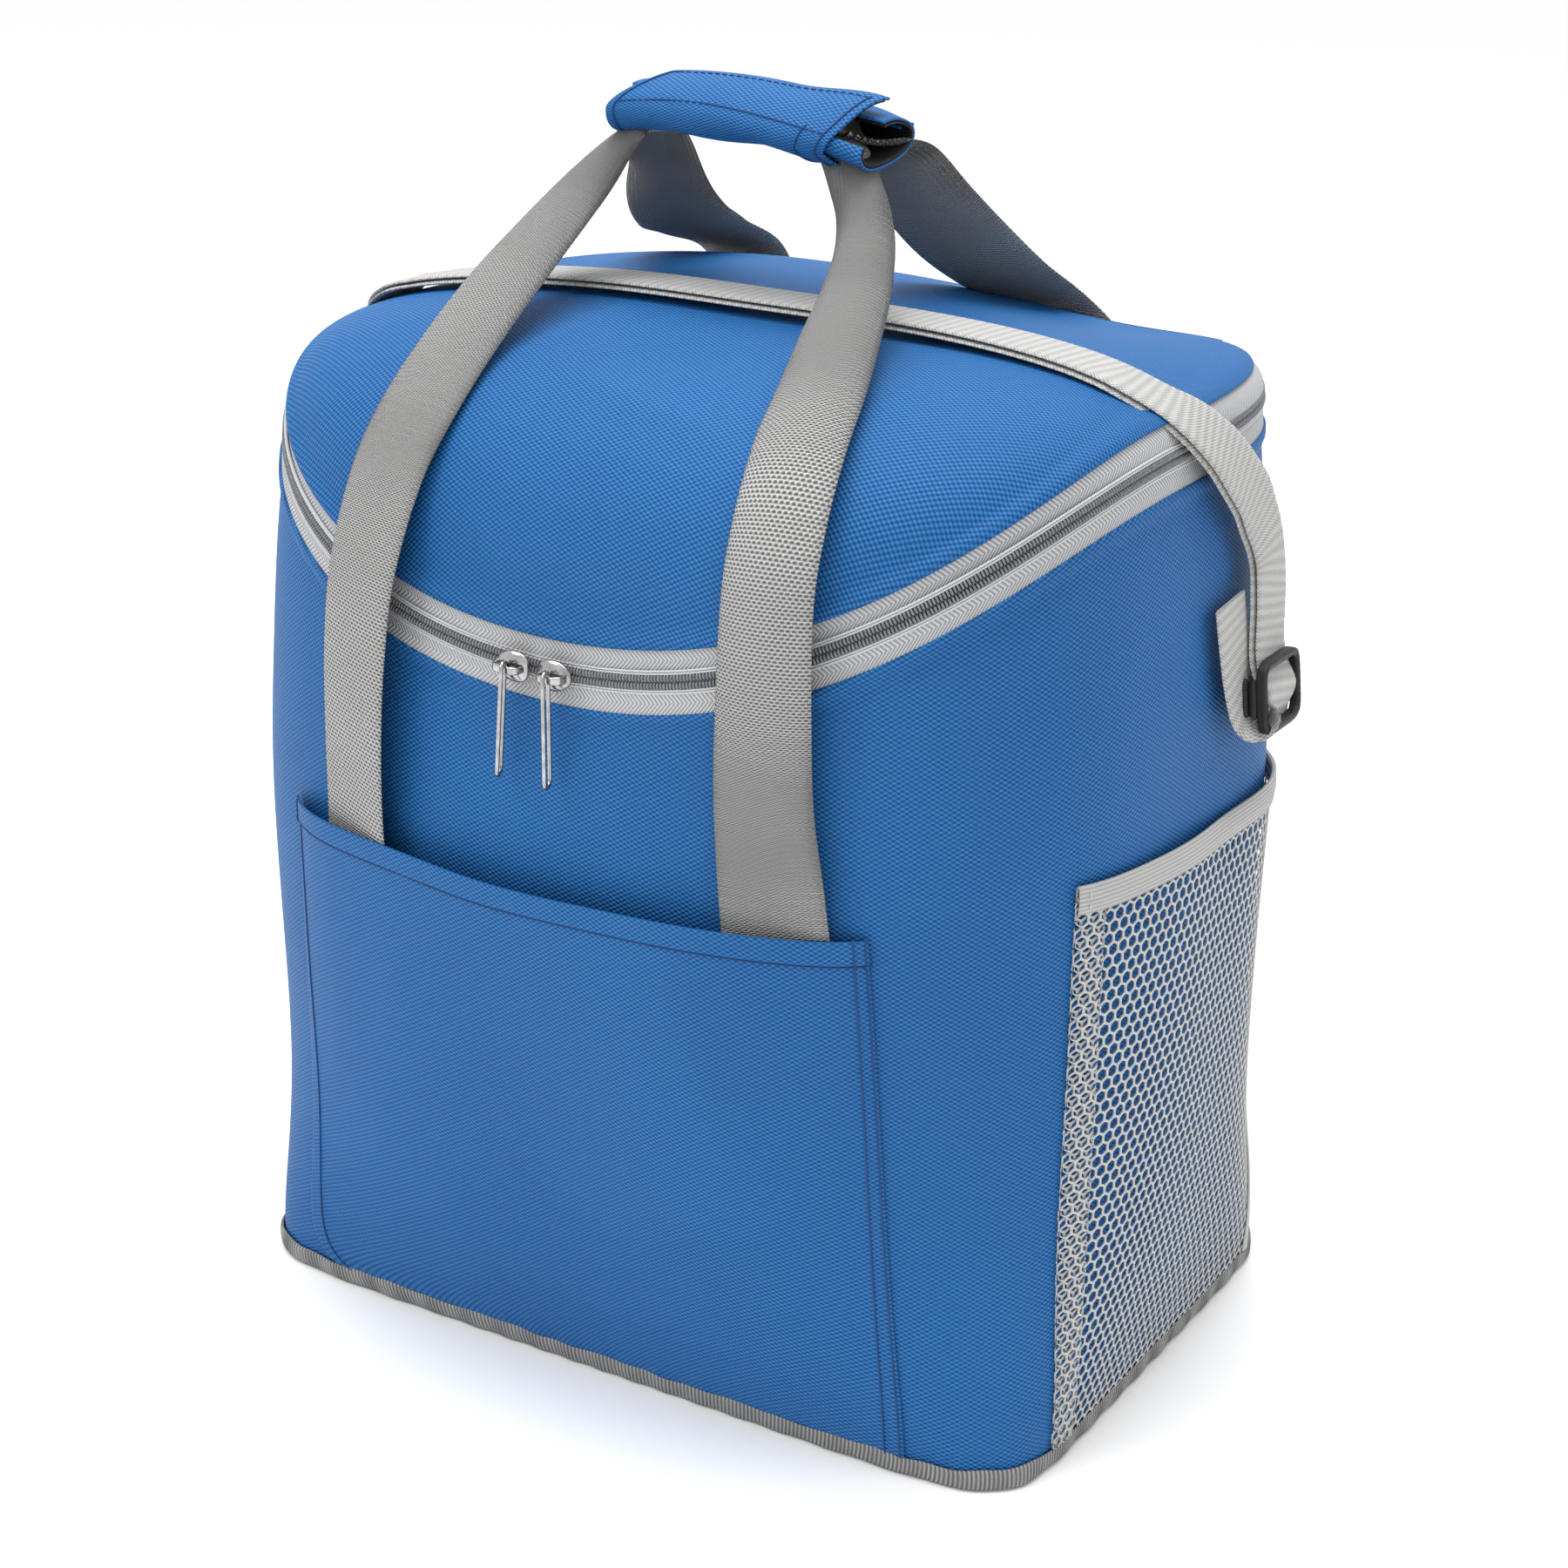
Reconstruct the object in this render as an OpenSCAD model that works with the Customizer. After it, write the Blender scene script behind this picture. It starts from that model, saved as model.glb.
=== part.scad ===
// Insulated cooler bag: soft box body with a domed zip lid, front and side pockets,
// two webbing carry handles joined by a wrap grip, and a shoulder strap.
// Origin at the centre of the base, +Z up, front towards -Y, strap adjuster on +X.

/* [Body] */
// Width of the flat base, left to right
base_w = 340; // [300:5:380]
// Depth of the flat base, front to back
base_d = 236; // [200:4:260]
// Extra half width where the side walls bulge most
side_bulge = 17; // [6:1:22]
// Extra depth where the front wall bulges most
front_bulge = 13; // [6:1:18]
// How much further forward the zip line lies than the base
front_lean = 24; // [10:1:30]
// Height of the zip line at the sides
side_rim_z = 355; // [330:1:375]
// Height of the zip line at the centre of the front
front_rim_z = 281; // [265:1:300]
// Height of the middle of the lid
crown_z = 385; // [380:1:400]
// Thickness of the outer fabric
fabric_t = 1.2; // [0.8:0.1:1.6]
// Thickness of the foam insulation
foam_t = 6; // [4:0.5:8]
// Thickness of the inner liner
liner_t = 0.8; // [0.6:0.1:1.2]

/* [Zip] */
// Distance from the zip line to the edge of the body or lid fabric
zip_gap = 8; // [7:0.5:10]
// Distance from the zip line to the outer edge of each tape
tape_reach = 12; // [11:0.5:14]
// Lean of the plane that the front of the zip lies in
zip_lean = 19; // [16:1:22]
// Length of one slider
slider_l = 15; // [12:0.5:16]
// Length of the wire puller
puller_l = 38; // [30:1:42]

/* [Pockets] */
// Half width of the front pocket at its mouth
pocket_half_w = 116; // [105:1:125]
// Height of the front pocket's mouth
pocket_z = 207; // [190:1:215]
// Depth of the space inside the front pocket at its mouth
pocket_room = 9; // [7:1:12]
// Height of the mesh side pockets
mesh_z = 222; // [200:2:240]
// Depth of the space inside a mesh pocket at its mouth
mesh_room = 8; // [6:1:12]

/* [Straps] */
// Width of the carry handle webbing
handle_w = 38; // [32:1:40]
// Width of the shoulder strap webbing
strap_w = 25; // [22:1:28]
// Thickness of all the webbing
webbing_t = 1.6; // [1.2:0.1:2]
// Height of the middle of the carry grip
grip_z = 448; // [440:1:456]
// Length of the carry grip
grip_l = 122; // [110:1:130]

/* [Hidden] */

blue = [0.22, 0.45, 0.71];
light_grey = [0.74, 0.74, 0.73];
dark_grey = [0.30, 0.30, 0.31];
silver = [0.80, 0.81, 0.83];
black = [0.10, 0.10, 0.11];

around = 64;            // points in one ring of the body
air = 0.3;              // gap between layers that only touch
corner_power = 2.8;     // squareness of the plan above the base
lid_power = 2.8;        // squareness of the lid's side profile
crown_y = -10;          // the middle of the lid, front to back
back_slope = 0.05;      // rise of the zip line towards the back
base_t = 3;             // sewn base panel
board_t = 3;            // stiffening board in the base

half_w = base_w / 2;
half_d = base_d / 2;
rim_half_w = half_w - 2;
rim_front = half_d + front_lean;
foam_in = fabric_t + air;
foam_out = foam_in + foam_t;
liner_in = foam_out + air;
liner_out = liner_in + liner_t;
foam_floor_z = base_t + board_t + 2 * air;
liner_floor_z = foam_floor_z + foam_t + air;

// Radius of the circle that the zip line follows across the front, so that it
// climbs from front_rim_z at the centre to side_rim_z at the full width.
arc_rise = (side_rim_z - front_rim_z) / cos(zip_lean);
arc_r = (rim_half_w * rim_half_w + arc_rise * arc_rise) / (2 * arc_rise);

// ---- Shape of the body ----

function signed_power(v, e) = sign(v) * pow(abs(v), e);
function lerp(a, b, k) = a + (b - a) * k;
function reversed(row) = [for (j = [len(row) - 1 : -1 : 0]) row[j]];

// Direction of ring point i, spread evenly round a rounded rectangle.
function ring_angle(i) = let (u = 360 * i / around)
    atan2(0.7 * signed_power(sin(u), 0.65), signed_power(cos(u), 0.65));

// A rounded rectangle in polar form.
function plan_radius(th, w, front, back, power) =
    pow(pow(abs(cos(th)) / w, power)
        + pow(abs(sin(th)) / (sin(th) < 0 ? front : back), power), -1 / power);

// Plan at t, which is 0 at the base and 1 at the zip line, moved in by inset:
// half width, reach to the front, reach to the back and squareness.
function plan_at(t, inset) = let (swell = 4 * t * (1 - t)) [
    lerp(half_w, rim_half_w, t) + side_bulge * swell - inset,
    lerp(half_d, rim_front, t) + front_bulge * swell - inset,
    lerp(half_d, half_d + 3, t) - inset,
    corner_power + 0.4 * t + 7.5 * exp(-10 * t)
];

function plan_point(th, t, inset) = let (
        plan = plan_at(t, inset),
        r = plan_radius(th, plan[0], plan[1], plan[2], plan[3]))
    [r * cos(th), r * sin(th)];

// Height of the zip line: an arc across the front, nearly level behind it.
function rim_z(th) = let (p = plan_point(th, 1, 0))
    p.y < 0
        ? front_rim_z + cos(zip_lean) * (arc_r - sqrt(arc_r * arc_r - p.x * p.x))
        : side_rim_z + back_slope * p.y;

function body_point(th, z, inset) = let (p = plan_point(th, z / rim_z(th), inset))
    [p.x, p.y, z];

// The front wall's y at a given x and height.
function front_wall_y(x, z, inset) = let (
        plan = plan_at(z / rim_z(atan2(-half_d, x)), inset))
    -plan[1] * pow(1 - pow(abs(x) / plan[0], plan[3]), 1 / plan[3]);

// All the walls share these levels, so that their surfaces stay parallel: fixed heights
// near the base, then shares of the rest of the way up to the edge below the zip.
low_levels = [base_t + air, foam_floor_z, liner_floor_z, 30];
high_levels = [0.15, 0.35, 0.6, 0.8, 1];
last_level = len(low_levels) + len(high_levels) - 1;

function wall_z(th, level) = level < len(low_levels)
    ? low_levels[level]
    : lerp(30, rim_z(th) - zip_gap, high_levels[level - len(low_levels)]);

function body_ring(level, inset, lowest = 0) =
    [for (i = [0 : around - 1]) let (th = ring_angle(i))
        body_point(th, max(lowest, wall_z(th, level)), inset)];

// ---- Shape of the lid: rings that shrink towards the crown ----

function lid_point(th, a, inset) = let (
        p = plan_point(th, 1, inset),
        rho = pow(cos(a), 2 / lid_power),
        lift = pow(sin(a), 2 / lid_power),
        z0 = rim_z(th))
    [p.x * rho, p.y * rho + crown_y * (1 - rho), z0 + (crown_z - inset - z0) * lift];

// Profile angle at a given rise above the zip line.
function lid_angle(th, rise) =
    asin(pow(rise / (crown_z - rim_z(th)), lid_power / 2));

function lid_ring(k, inset) =
    [for (i = [0 : around - 1]) let (th = ring_angle(i))
        lid_point(th, lerp(lid_angle(th, zip_gap), 90, k), inset)];

// Height of the lid's top surface above a point of its centre line y = crown_y.
function lid_top_z(x) = let (rho = min(abs(x) / rim_half_w, 0.999))
    side_rim_z + (crown_z - side_rim_z) * pow(1 - pow(rho, lid_power), 1 / lid_power);

// ---- Lofts ----

// A closed solid through rings of equal length. Each end is closed by a ladder of
// faces across its ring, or the ends are joined to each other where loop is true.
// From ring number fold on the rings run back, and the faces there are split the other
// way, so that two shells that lie one inside the other have matching facets.
module loft(rings, loop = false, fold = 1000) {
    n = len(rings[0]);
    m = len(rings);
    points = [for (ring = rings) each ring];
    spans = loop ? m : m - 1;
    sides = [for (j = [0 : spans - 1], i = [0 : n - 1]) let (
            a = j * n + i,
            b = j * n + (i + 1) % n,
            c = ((j + 1) % m) * n + (i + 1) % n,
            d = ((j + 1) % m) * n + i)
        each j < fold ? [[a, c, b], [a, d, c]] : [[a, d, b], [b, d, c]]];
    top = (m - 1) * n;
    ends = loop ? [] : [for (i = [0 : n / 2 - 2]) let (b = n - 2 - i, c = n - 1 - i)
        each [[i, i + 1, b], [i, b, c], [top + i + 1, top + i, top + b], [top + b, top + i, top + c]]];
    polyhedron(points = points, faces = concat(sides, ends), convexity = 6);
}

// Rings of a flat strip. The path has [centre, width direction] at each station, and
// may add the width there, in which case the bunched strip is thicker too.
function unit(v) = v / norm(v);
function strip_rings(path, w, t) =
    [for (j = [0 : len(path) - 1]) let (
            p = path[j][0],
            before = path[max(j - 1, 0)][0],
            after = path[min(j + 1, len(path) - 1)][0],
            along = unit(after - before),
            out = unit(cross(along, path[j][1])),
            wide = len(path[j]) > 2 ? path[j][2] : w,
            to_side = unit(cross(out, along)) * wide / 2,
            to_face = out * (t + (w - wide) / 24) / 2)
        [p + to_side + to_face, p - to_side + to_face,
         p - to_side - to_face, p + to_side - to_face]];

// A smooth curve through points, with steps pieces between each two.
function spline_at(a, b, c, d, u) = 0.5 * ((2 * b) + (c - a) * u
    + (2 * a - 5 * b + 4 * c - d) * u * u + (3 * b - a - 3 * c + d) * u * u * u);
function spline(pts, steps) = let (n = len(pts))
    [for (j = [0 : n - 2], k = [0 : steps - 1])
        spline_at(pts[max(j - 1, 0)], pts[j], pts[j + 1], pts[min(j + 2, n - 1)], k / steps),
     pts[n - 1]];

module strip(path, w, t) loft(strip_rings(path, w, t));

// ---- Bag body ----

module outer_shell() color(blue)
    loft(concat(
        [for (j = [0 : last_level]) body_ring(j, 0)],
        [for (j = [last_level : -1 : 0]) body_ring(j, fabric_t)]),
        loop = true, fold = last_level + 1);

module base_outline(inset)
    polygon([for (i = [0 : around - 1]) plan_point(ring_angle(i), 0, inset)]);

module base_panel() color(blue)
    linear_extrude(base_t) base_outline(0);

module base_board() color(black)
    translate([0, 0, base_t + air]) linear_extrude(board_t) base_outline(fabric_t + 3);

// A folded tape sewn round the edge of the base.
module bottom_binding() {
    levels = [0, base_t + air, foam_floor_z, 9];
    function edge(z, inset) = [for (i = [0 : around - 1]) body_point(ring_angle(i), z, inset)];
    color(dark_grey)
    loft(concat(
        [for (z = levels) edge(z, -2.6)],
        [for (z = reversed(levels)) edge(z, -0.6)]),
        loop = true);
}

// A tub: a floor, from the given wall level, and walls between two insets.
module tub(first_level, floor_t, inset_a, inset_b)
    loft(concat(
        [for (j = [first_level : last_level]) body_ring(j, inset_a)],
        [for (j = [last_level : -1 : first_level])
            body_ring(j, inset_b, low_levels[first_level] + floor_t)]),
        fold = last_level - first_level + 1);

module body_foam() color("white") tub(1, foam_t, foam_in, foam_out);
module body_liner() color(silver) tub(2, liner_t, liner_in, liner_out);

// ---- Zip ----

// Ring numbers that the zip runs through, from the back left round the front.
zip_first = round(around * 0.375);
zip_last = round(around * 1.125);
coil_gap = 1.2;
coil_reach = 4;

// One half of the zip between two distances from the zip line, above it or below it.
function zip_corner(th, distance, offset, above) = above
    ? lid_point(th, lid_angle(th, distance), -offset)
    : body_point(th, rim_z(th) - distance, -offset);

// The corners run the other way round on the upper half, so both solids face outwards.
module zip_half(distances, inner, outer, above)
    loft([for (i = [zip_first : 0.5 : zip_last]) let (
            th = ring_angle(i),
            a = above ? outer : inner,
            b = above ? inner : outer,
            last = len(distances) - 1)
        concat([for (d = distances) zip_corner(th, d, b, above)],
            [for (j = [last : -1 : 0]) zip_corner(th, distances[j], a, above)])]);

tape_distances = [coil_reach + 0.1, zip_gap, tape_reach];
coil_distances = [coil_gap, coil_reach];

module zip_tape_lower() color(light_grey) zip_half(tape_distances, 0.5, 1.3, false);
module zip_tape_upper() color(light_grey) zip_half(tape_distances, 0.5, 1.3, true);
module zip_coil_lower() color(dark_grey) zip_half(coil_distances, -1, 2.4, false);
module zip_coil_upper() color(dark_grey) zip_half(coil_distances, -1, 2.4, true);

// Sliders and pullers are drawn at the front centre of the zip line, facing -Y in the
// leaning plane of the zip, and turned about the centre of its arc.
arc_centre = [0, -rim_front + arc_r * sin(zip_lean), front_rim_z + arc_r * cos(zip_lean)];
slider_left_angle = 4;
slider_right_angle = -0.5;
slider_off = 0.4;       // how far outside the zip line the slider's middle runs
arch_out = 10.5;        // middle of the slider's arch, outwards from the zip line

// Turns about the arc's centre, so that x moves towards the left for a positive angle.
module on_zip(angle)
    translate(arc_centre) rotate([-zip_lean, 0, 0]) rotate([0, angle, 0])
        translate([0, 0, -arc_r]) rotate([zip_lean, 0, 0]) children();

module slider_plate(from_y, to_y) translate([0, to_y, 0]) rotate([90, 0, 0])
    linear_extrude(to_y - from_y)
        polygon([for (i = [0 : 23]) let (u = 15 * i)
            [slider_l / 2 * signed_power(cos(u), 0.7), 6 * signed_power(sin(u), 0.7)]]);

module slider() color(silver) {
    slider_plate(-5.6 - slider_off, -4.1 - slider_off);
    slider_plate(2.7 - slider_off, 3.9 - slider_off);
    // Arch along the zip, which the puller hangs on
    translate([-4.8, -arch_out - 0.55, -1.2]) cube([9.6, 1.1, 2.4]);
    for (s = [-1, 1]) translate([s * 4.3 - 0.5, -arch_out - 0.55, -1.2])
        cube([1, arch_out + 0.55 - 5.6, 2.4]);
    // Post that parts the two coils
    translate([-1.5, -4.3 - slider_off, -0.4]) cube([3, 7.4, 0.8]);
}

// A long wire loop through the slider's arch. It hangs straight down, edge on to the bag.
wire_d = 1.6;
loop_r = 2.7;
module half_loop(turn) rotate([0, 90, 0]) rotate([0, 0, turn])
    rotate_extrude(angle = 180, $fn = 48) translate([loop_r, 0]) circle(d = wire_d, $fn = 24);

module puller() color(silver) translate([0, -arch_out, 0]) {
    straight = puller_l - loop_r;
    half_loop(90);
    for (s = [-1, 1]) translate([0, s * loop_r, -straight]) cylinder(d = wire_d, h = straight, $fn = 24);
    translate([0, 0, -straight]) half_loop(-90);
}

module slider_left() on_zip(slider_left_angle) slider();
module slider_right() on_zip(slider_right_angle) slider();
module puller_left() on_zip(slider_left_angle) puller();
module puller_right() on_zip(slider_right_angle) puller();

// ---- Pockets ----

// A patch of cloth on the body between two ring directions: open at the top, standing
// off the body by room at its mouth and held to it at its edges.
module pocket_patch(th_a, th_b, top_z, room, lift) {
    cols = 24;
    rows = 9;
    t = 1.2;
    function off(u, v) = lift + room * (1 - pow(abs(2 * u - 1), 8)) * v;
    function at(u, v, o) = body_point(lerp(th_a, th_b, u), lerp(base_t + 7, top_z, v), -o);
    function row(v) = concat(
        [for (i = [0 : cols]) at(i / cols, v, off(i / cols, v) + t)],
        [for (i = [cols : -1 : 0]) at(i / cols, v, off(i / cols, v))]);
    loft([for (j = [0 : rows]) row(j / rows)]);
}

patch_lift = 0.9;       // gap between the body and the sewn edges of a pocket
pocket_half_angle = atan2(pocket_half_w, half_d + 11);
front_th_a = -90 - pocket_half_angle;
front_th_b = -90 + pocket_half_angle;

module front_pocket() color(blue)
    pocket_patch(front_th_a, front_th_b, pocket_z, pocket_room, patch_lift);

mesh_th_front = -27;
mesh_th_back = 27;

module mesh_pocket(a, b) color(light_grey)
    pocket_patch(a, b, mesh_z - 9, mesh_room, patch_lift);

module mesh_pocket_right() mesh_pocket(mesh_th_front, mesh_th_back);
module mesh_pocket_left() mesh_pocket(180 - mesh_th_back, 180 - mesh_th_front);

// Elastic tape round the mouth of a mesh pocket.
module mesh_binding(a, b) color(light_grey)
    loft([for (i = [0 : 24]) let (
            u = i / 24,
            th = lerp(a, b, u),
            o = patch_lift + mesh_room * (1 - pow(abs(2 * u - 1), 8)))
        [body_point(th, mesh_z, -o), body_point(th, mesh_z, -o - 1.8),
         body_point(th, mesh_z - 8.7, -o - 1.8), body_point(th, mesh_z - 8.7, -o)]]);

module mesh_binding_right() mesh_binding(mesh_th_front, mesh_th_back);
module mesh_binding_left() mesh_binding(180 - mesh_th_back, 180 - mesh_th_front);

// ---- Handles ----

front_pivot = [-(half_d + 28.5), 232];  // y and z where the front handle leaves the body
rear_pivot = [half_d + 6, 300];         // y and z where the rear handle leaves the body
end_gap = 1.4;                          // from the pivot down to the sewn end
start_gap = 1;                          // from the pivot up to the handle
grip_x = -5;                            // middle of the grip, left to right
grip_y = -12;
grip_tilt = 8;                          // the grip's flat leans down towards the front
leg_x = 84;                             // middle of each leg where it leaves the body

// Sewn ends at the front: each follows the wall inside the pocket, then stands off it.
module front_handle_ends() color(light_grey)
    for (s = [-1, 1])
        loft([for (k = [0 : 8]) let (
                z = lerp(160, front_pivot[1] - end_gap, k / 8),
                free = k * k * k / 512)
            concat(front_end_row(s, z, free, 1.1), reversed(front_end_row(s, z, free, 1.1 + webbing_t)))]);

function front_end_row(s, z, free, off) =
    [for (j = [-3 : 3]) let (
            x = s * leg_x + j / 6 * handle_w,
            plane_y = front_pivot[0] + 1.1 + webbing_t / 2 - off)
        [x, lerp(front_wall_y(x, z, -off), plane_y, free), z]];

module rear_handle_ends() color(light_grey)
    for (s = [-1, 1])
        strip([for (z = [120, rear_pivot[1] - end_gap]) [[s * leg_x, rear_pivot[0], z], [1, 0, 0]]],
            handle_w, webbing_t);

// Each knot: distance out from the middle, y, z, how far it has shifted with the grip,
// how far the webbing has turned flat to enter the grip, and its bunched width.
front_knots = [
    [leg_x, front_pivot[0], front_pivot[1] + start_gap, 0, 0, handle_w],
    [leg_x, front_pivot[0], front_pivot[1] + 6, 0, 0, handle_w],
    [leg_x, front_pivot[0], front_pivot[1] + 12, 0, 0, handle_w],
    [79, front_pivot[0] - 1, 268, 0, 0, handle_w],
    [73, front_pivot[0] - 1, 303, 0, 0, handle_w],
    [70, -139, 336, 0.1, 0, 34],
    [69, -116, 368, 0.4, 0, 28],
    [69, -78, 397, 0.7, 0, 22],
    [70, -46, 420, 1, 0.05, 17],
    [70, -26, 436, 1, 0.4, 14],
    [63, grip_y - 2, grip_z - 2.5, 1, 0.95, 14],
    [45, grip_y, grip_z - 2, 1, 1, 14],
    [14, grip_y, grip_z - 2, 1, 1, 14]
];

rear_knots = [
    [leg_x, rear_pivot[0], rear_pivot[1] + start_gap, 0, 0, handle_w],
    [leg_x, rear_pivot[0], rear_pivot[1] + 6, 0, 0, handle_w],
    [leg_x, rear_pivot[0], rear_pivot[1] + 12, 0, 0, handle_w],
    [82, rear_pivot[0] + 2, 333, 0, 0, handle_w],
    [79, rear_pivot[0] + 3, 360, 0, 0, handle_w],
    [75, 118, 384, 0.2, 0, 36],
    [71, 84, 402, 0.5, 0, 32],
    [69, 46, 422, 1, 0, 24],
    [70, 20, 438, 1, 0.1, 16],
    [70, 4, 447.5, 1, 0.5, 14],
    [63, grip_y + 4, grip_z + 2.4, 1, 0.95, 14],
    [45, grip_y, grip_z + 2.4, 1, 1, 14],
    [14, grip_y, grip_z + 2.4, 1, 1, 14]
];

// A webbing loop, from one pivot up over the lid, through the grip and down again. The
// webbing lies across the bag on its legs, and is bunched and turned flat in the grip.
module handle_loop(knots, turn) {
    left = [for (k = knots) [grip_x * k[3] - k[0], k[1], k[2], k[4], k[5]]];
    right = [for (k = reversed(knots)) [grip_x * k[3] + k[0], k[1], k[2], k[4], k[5]]];
    pts = spline(concat(left, right), 3);
    last = len(pts) - 1;
    loft(strip_rings([for (j = [0 : last]) let (
            flat = pts[j][3],
            s = j < last / 2 ? 1 : -1)
        [[pts[j].x, pts[j].y, pts[j].z],
            unit([s * (1 - flat), turn * cos(grip_tilt) * flat, turn * sin(grip_tilt) * flat]),
            pts[j][4]]],
        handle_w, webbing_t));
}

module front_handle() color(light_grey) handle_loop(front_knots, -1);
module rear_handle() color(light_grey) handle_loop(rear_knots, 1);

// ---- Grip: a flattened roll round both handles ----

// A stretch of the roll's outline, between two angles and two layers.
module roll(angle_a, angle_b, inner, outer, length) {
    steps = 20;
    half_u = handle_w / 2 + 2.4;
    half_v = 6.5;
    function edge(a, o) = [(half_u + o) * cos(a), (half_v + o) * sin(a)];
    translate([grip_x - length / 2, grip_y, grip_z]) rotate([grip_tilt, 0, 0]) rotate([90, 0, 90])
        linear_extrude(length) polygon(concat(
            [for (k = [0 : steps]) edge(lerp(angle_a, angle_b, k / steps), inner)],
            [for (k = [steps : -1 : 0]) edge(lerp(angle_a, angle_b, k / steps), outer)]));
}

module grip_wrap() color(blue) roll(-205, 95, 0, 1.6, grip_l);
module grip_hook_strip() color(black) roll(-205, -120, 1.9, 2.9, grip_l - 10);
module grip_loop_strip() color(black) roll(-202, -124, 3.2, 4, grip_l - 10);
module grip_flap() color(blue) roll(-208, -16, 4.3, 5.9, grip_l);

// ---- Lid ----

// A shell between two insets, open underneath.
module lid_shell(inset_a, inset_b) {
    steps = 8;
    nearly_top = 0.985;     // the last ring, which a flat facet closes
    loft(concat(
        [for (k = [steps : -1 : 0]) lid_ring(min(k / steps, nearly_top), inset_a)],
        [for (k = [0 : steps]) lid_ring(min(k / steps, nearly_top), inset_b)]),
        fold = steps + 1);
}

module lid_panel() color(blue) lid_shell(0, fabric_t);
module lid_foam() color("white") lid_shell(foam_in, foam_out);
module lid_liner() color(silver) lid_shell(liner_in, liner_out);

// Fabric strip at the back that joins the lid to the body.
gusset_first = round(around * 0.155);
gusset_last = round(around * 0.345);
module lid_hinge_gusset() color(blue)
    loft([for (i = [gusset_first : gusset_last]) let (th = ring_angle(i), b = rim_z(th))
        concat(gusset_row(th, b, 0.6), reversed(gusset_row(th, b, 1.8)))]);

function gusset_row(th, b, off) = [
    body_point(th, b - tape_reach, -off),
    body_point(th, b, -off),
    lid_point(th, lid_angle(th, zip_gap), -off),
    lid_point(th, lid_angle(th, tape_reach), -off)
];

// ---- Shoulder strap ----

strap_y = -18;
strap_end_x = 150;              // where the strap leaves the lid
adjuster_at = [191, 24, 264];   // middle of the three-bar adjuster

// One layer of the strap on the lid, at a given height above its surface.
module strap_layer(off) color(light_grey)
    strip([for (k = [-10 : 10]) let (x = strap_end_x * k / 10)
        [[x, strap_y, lid_top_z(x * 1.02) + off], [0, 1, 0]]], strap_w, webbing_t);

module shoulder_strap() strap_layer(5.4);
module shoulder_strap_tail() strap_layer(3);

// The doubled webbing from the edge of the lid down the side, straight where the
// adjuster slides on it.
leg_t = 2 * webbing_t + 0.4;
leg_run = [-0.14, 0.08];        // how far the straight part leans, for each unit of height
leg_low = -13.5;                // its lower end, measured up from the adjuster's middle
function adjuster_path(up) = adjuster_at + [leg_run.x * up, leg_run.y * up, up];

module strap_leg_right() color(light_grey)
    strip([for (p = spline([adjuster_path(leg_low), adjuster_path(18), adjuster_path(52),
            [181.5, 18, 336], [178, 8, 353], [171.5, -4, 367], [158, -13, 377.5]], 4))
        [p, [0, 1, 0]]], strap_w, leg_t);

module strap_leg_left() mirror([1, 0, 0]) strap_leg_right();

// Webbing sewn to the side panel, turning up into the strap's end.
module strap_tab_right() color(light_grey)
    strip([for (p = spline([[179.4, -9, 300], [182, -5, 280], [184.4, 4, 258], [187.6, 10.5, 247],
            [191.6, 16.5, 240.8], [194.6, 20.8, 241.6], adjuster_path(-20), adjuster_path(leg_low - 1.4)], 3))
        [p, [0, 1, 0]]], strap_w, webbing_t);

module strap_tab_left() mirror([1, 0, 0]) strap_tab_right();

// Three-bar adjuster: the outer bars cross outside the webbing and the middle one inside.
module tri_glide() color(black) {
    bar = 3;
    wide = strap_w + 8;
    tall = 26;
    clear = leg_t / 2 + 0.6;
    lean = [[1, 0, leg_run.x, 0], [0, 1, leg_run.y, 0], [0, 0, 1, 0]];
    translate(adjuster_at) multmatrix(lean) {
        for (z = [-tall / 2, tall / 2 - bar]) translate([clear, -wide / 2, z]) cube([bar, wide, bar]);
        for (s = [-1, 1]) translate([-clear - bar, s * (wide - bar) / 2 - bar / 2, -tall / 2])
            cube([2 * clear + 2 * bar, bar, tall]);
        translate([-clear - bar, -wide / 2, -bar / 2]) cube([bar, wide, bar]);
    }
}

// ---- Drawing ----

outer_shell();
base_panel();
base_board();
bottom_binding();
body_foam();
body_liner();
zip_tape_lower();
zip_coil_lower();
front_pocket();
mesh_pocket_right();
mesh_pocket_left();
mesh_binding_right();
mesh_binding_left();
front_handle_ends();
rear_handle_ends();
strap_tab_right();
strap_tab_left();
lid_panel();
lid_foam();
lid_liner();
lid_hinge_gusset();
zip_tape_upper();
zip_coil_upper();
shoulder_strap();
shoulder_strap_tail();
strap_leg_right();
strap_leg_left();
front_handle();
grip_wrap();
grip_hook_strip();
grip_flap();
grip_loop_strip();
rear_handle();
slider_left();
slider_right();
puller_left();
puller_right();
tri_glide();
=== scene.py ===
"""Looks of an insulated cooler bag, in metres, in the same frame as its CAD part.

The walls, lid, zip and net come from the same formulas as the CAD shapes, with finer steps.
The webbing follows splines through listed points. Most pieces ride on the CAD body that they
belong to; the hinge cloth, the handle webbing and the strap stay where they are built.
"""

import math
from contextlib import contextmanager

import bmesh
import bpy
import numpy as np
from mathutils import Matrix, Vector


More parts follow.
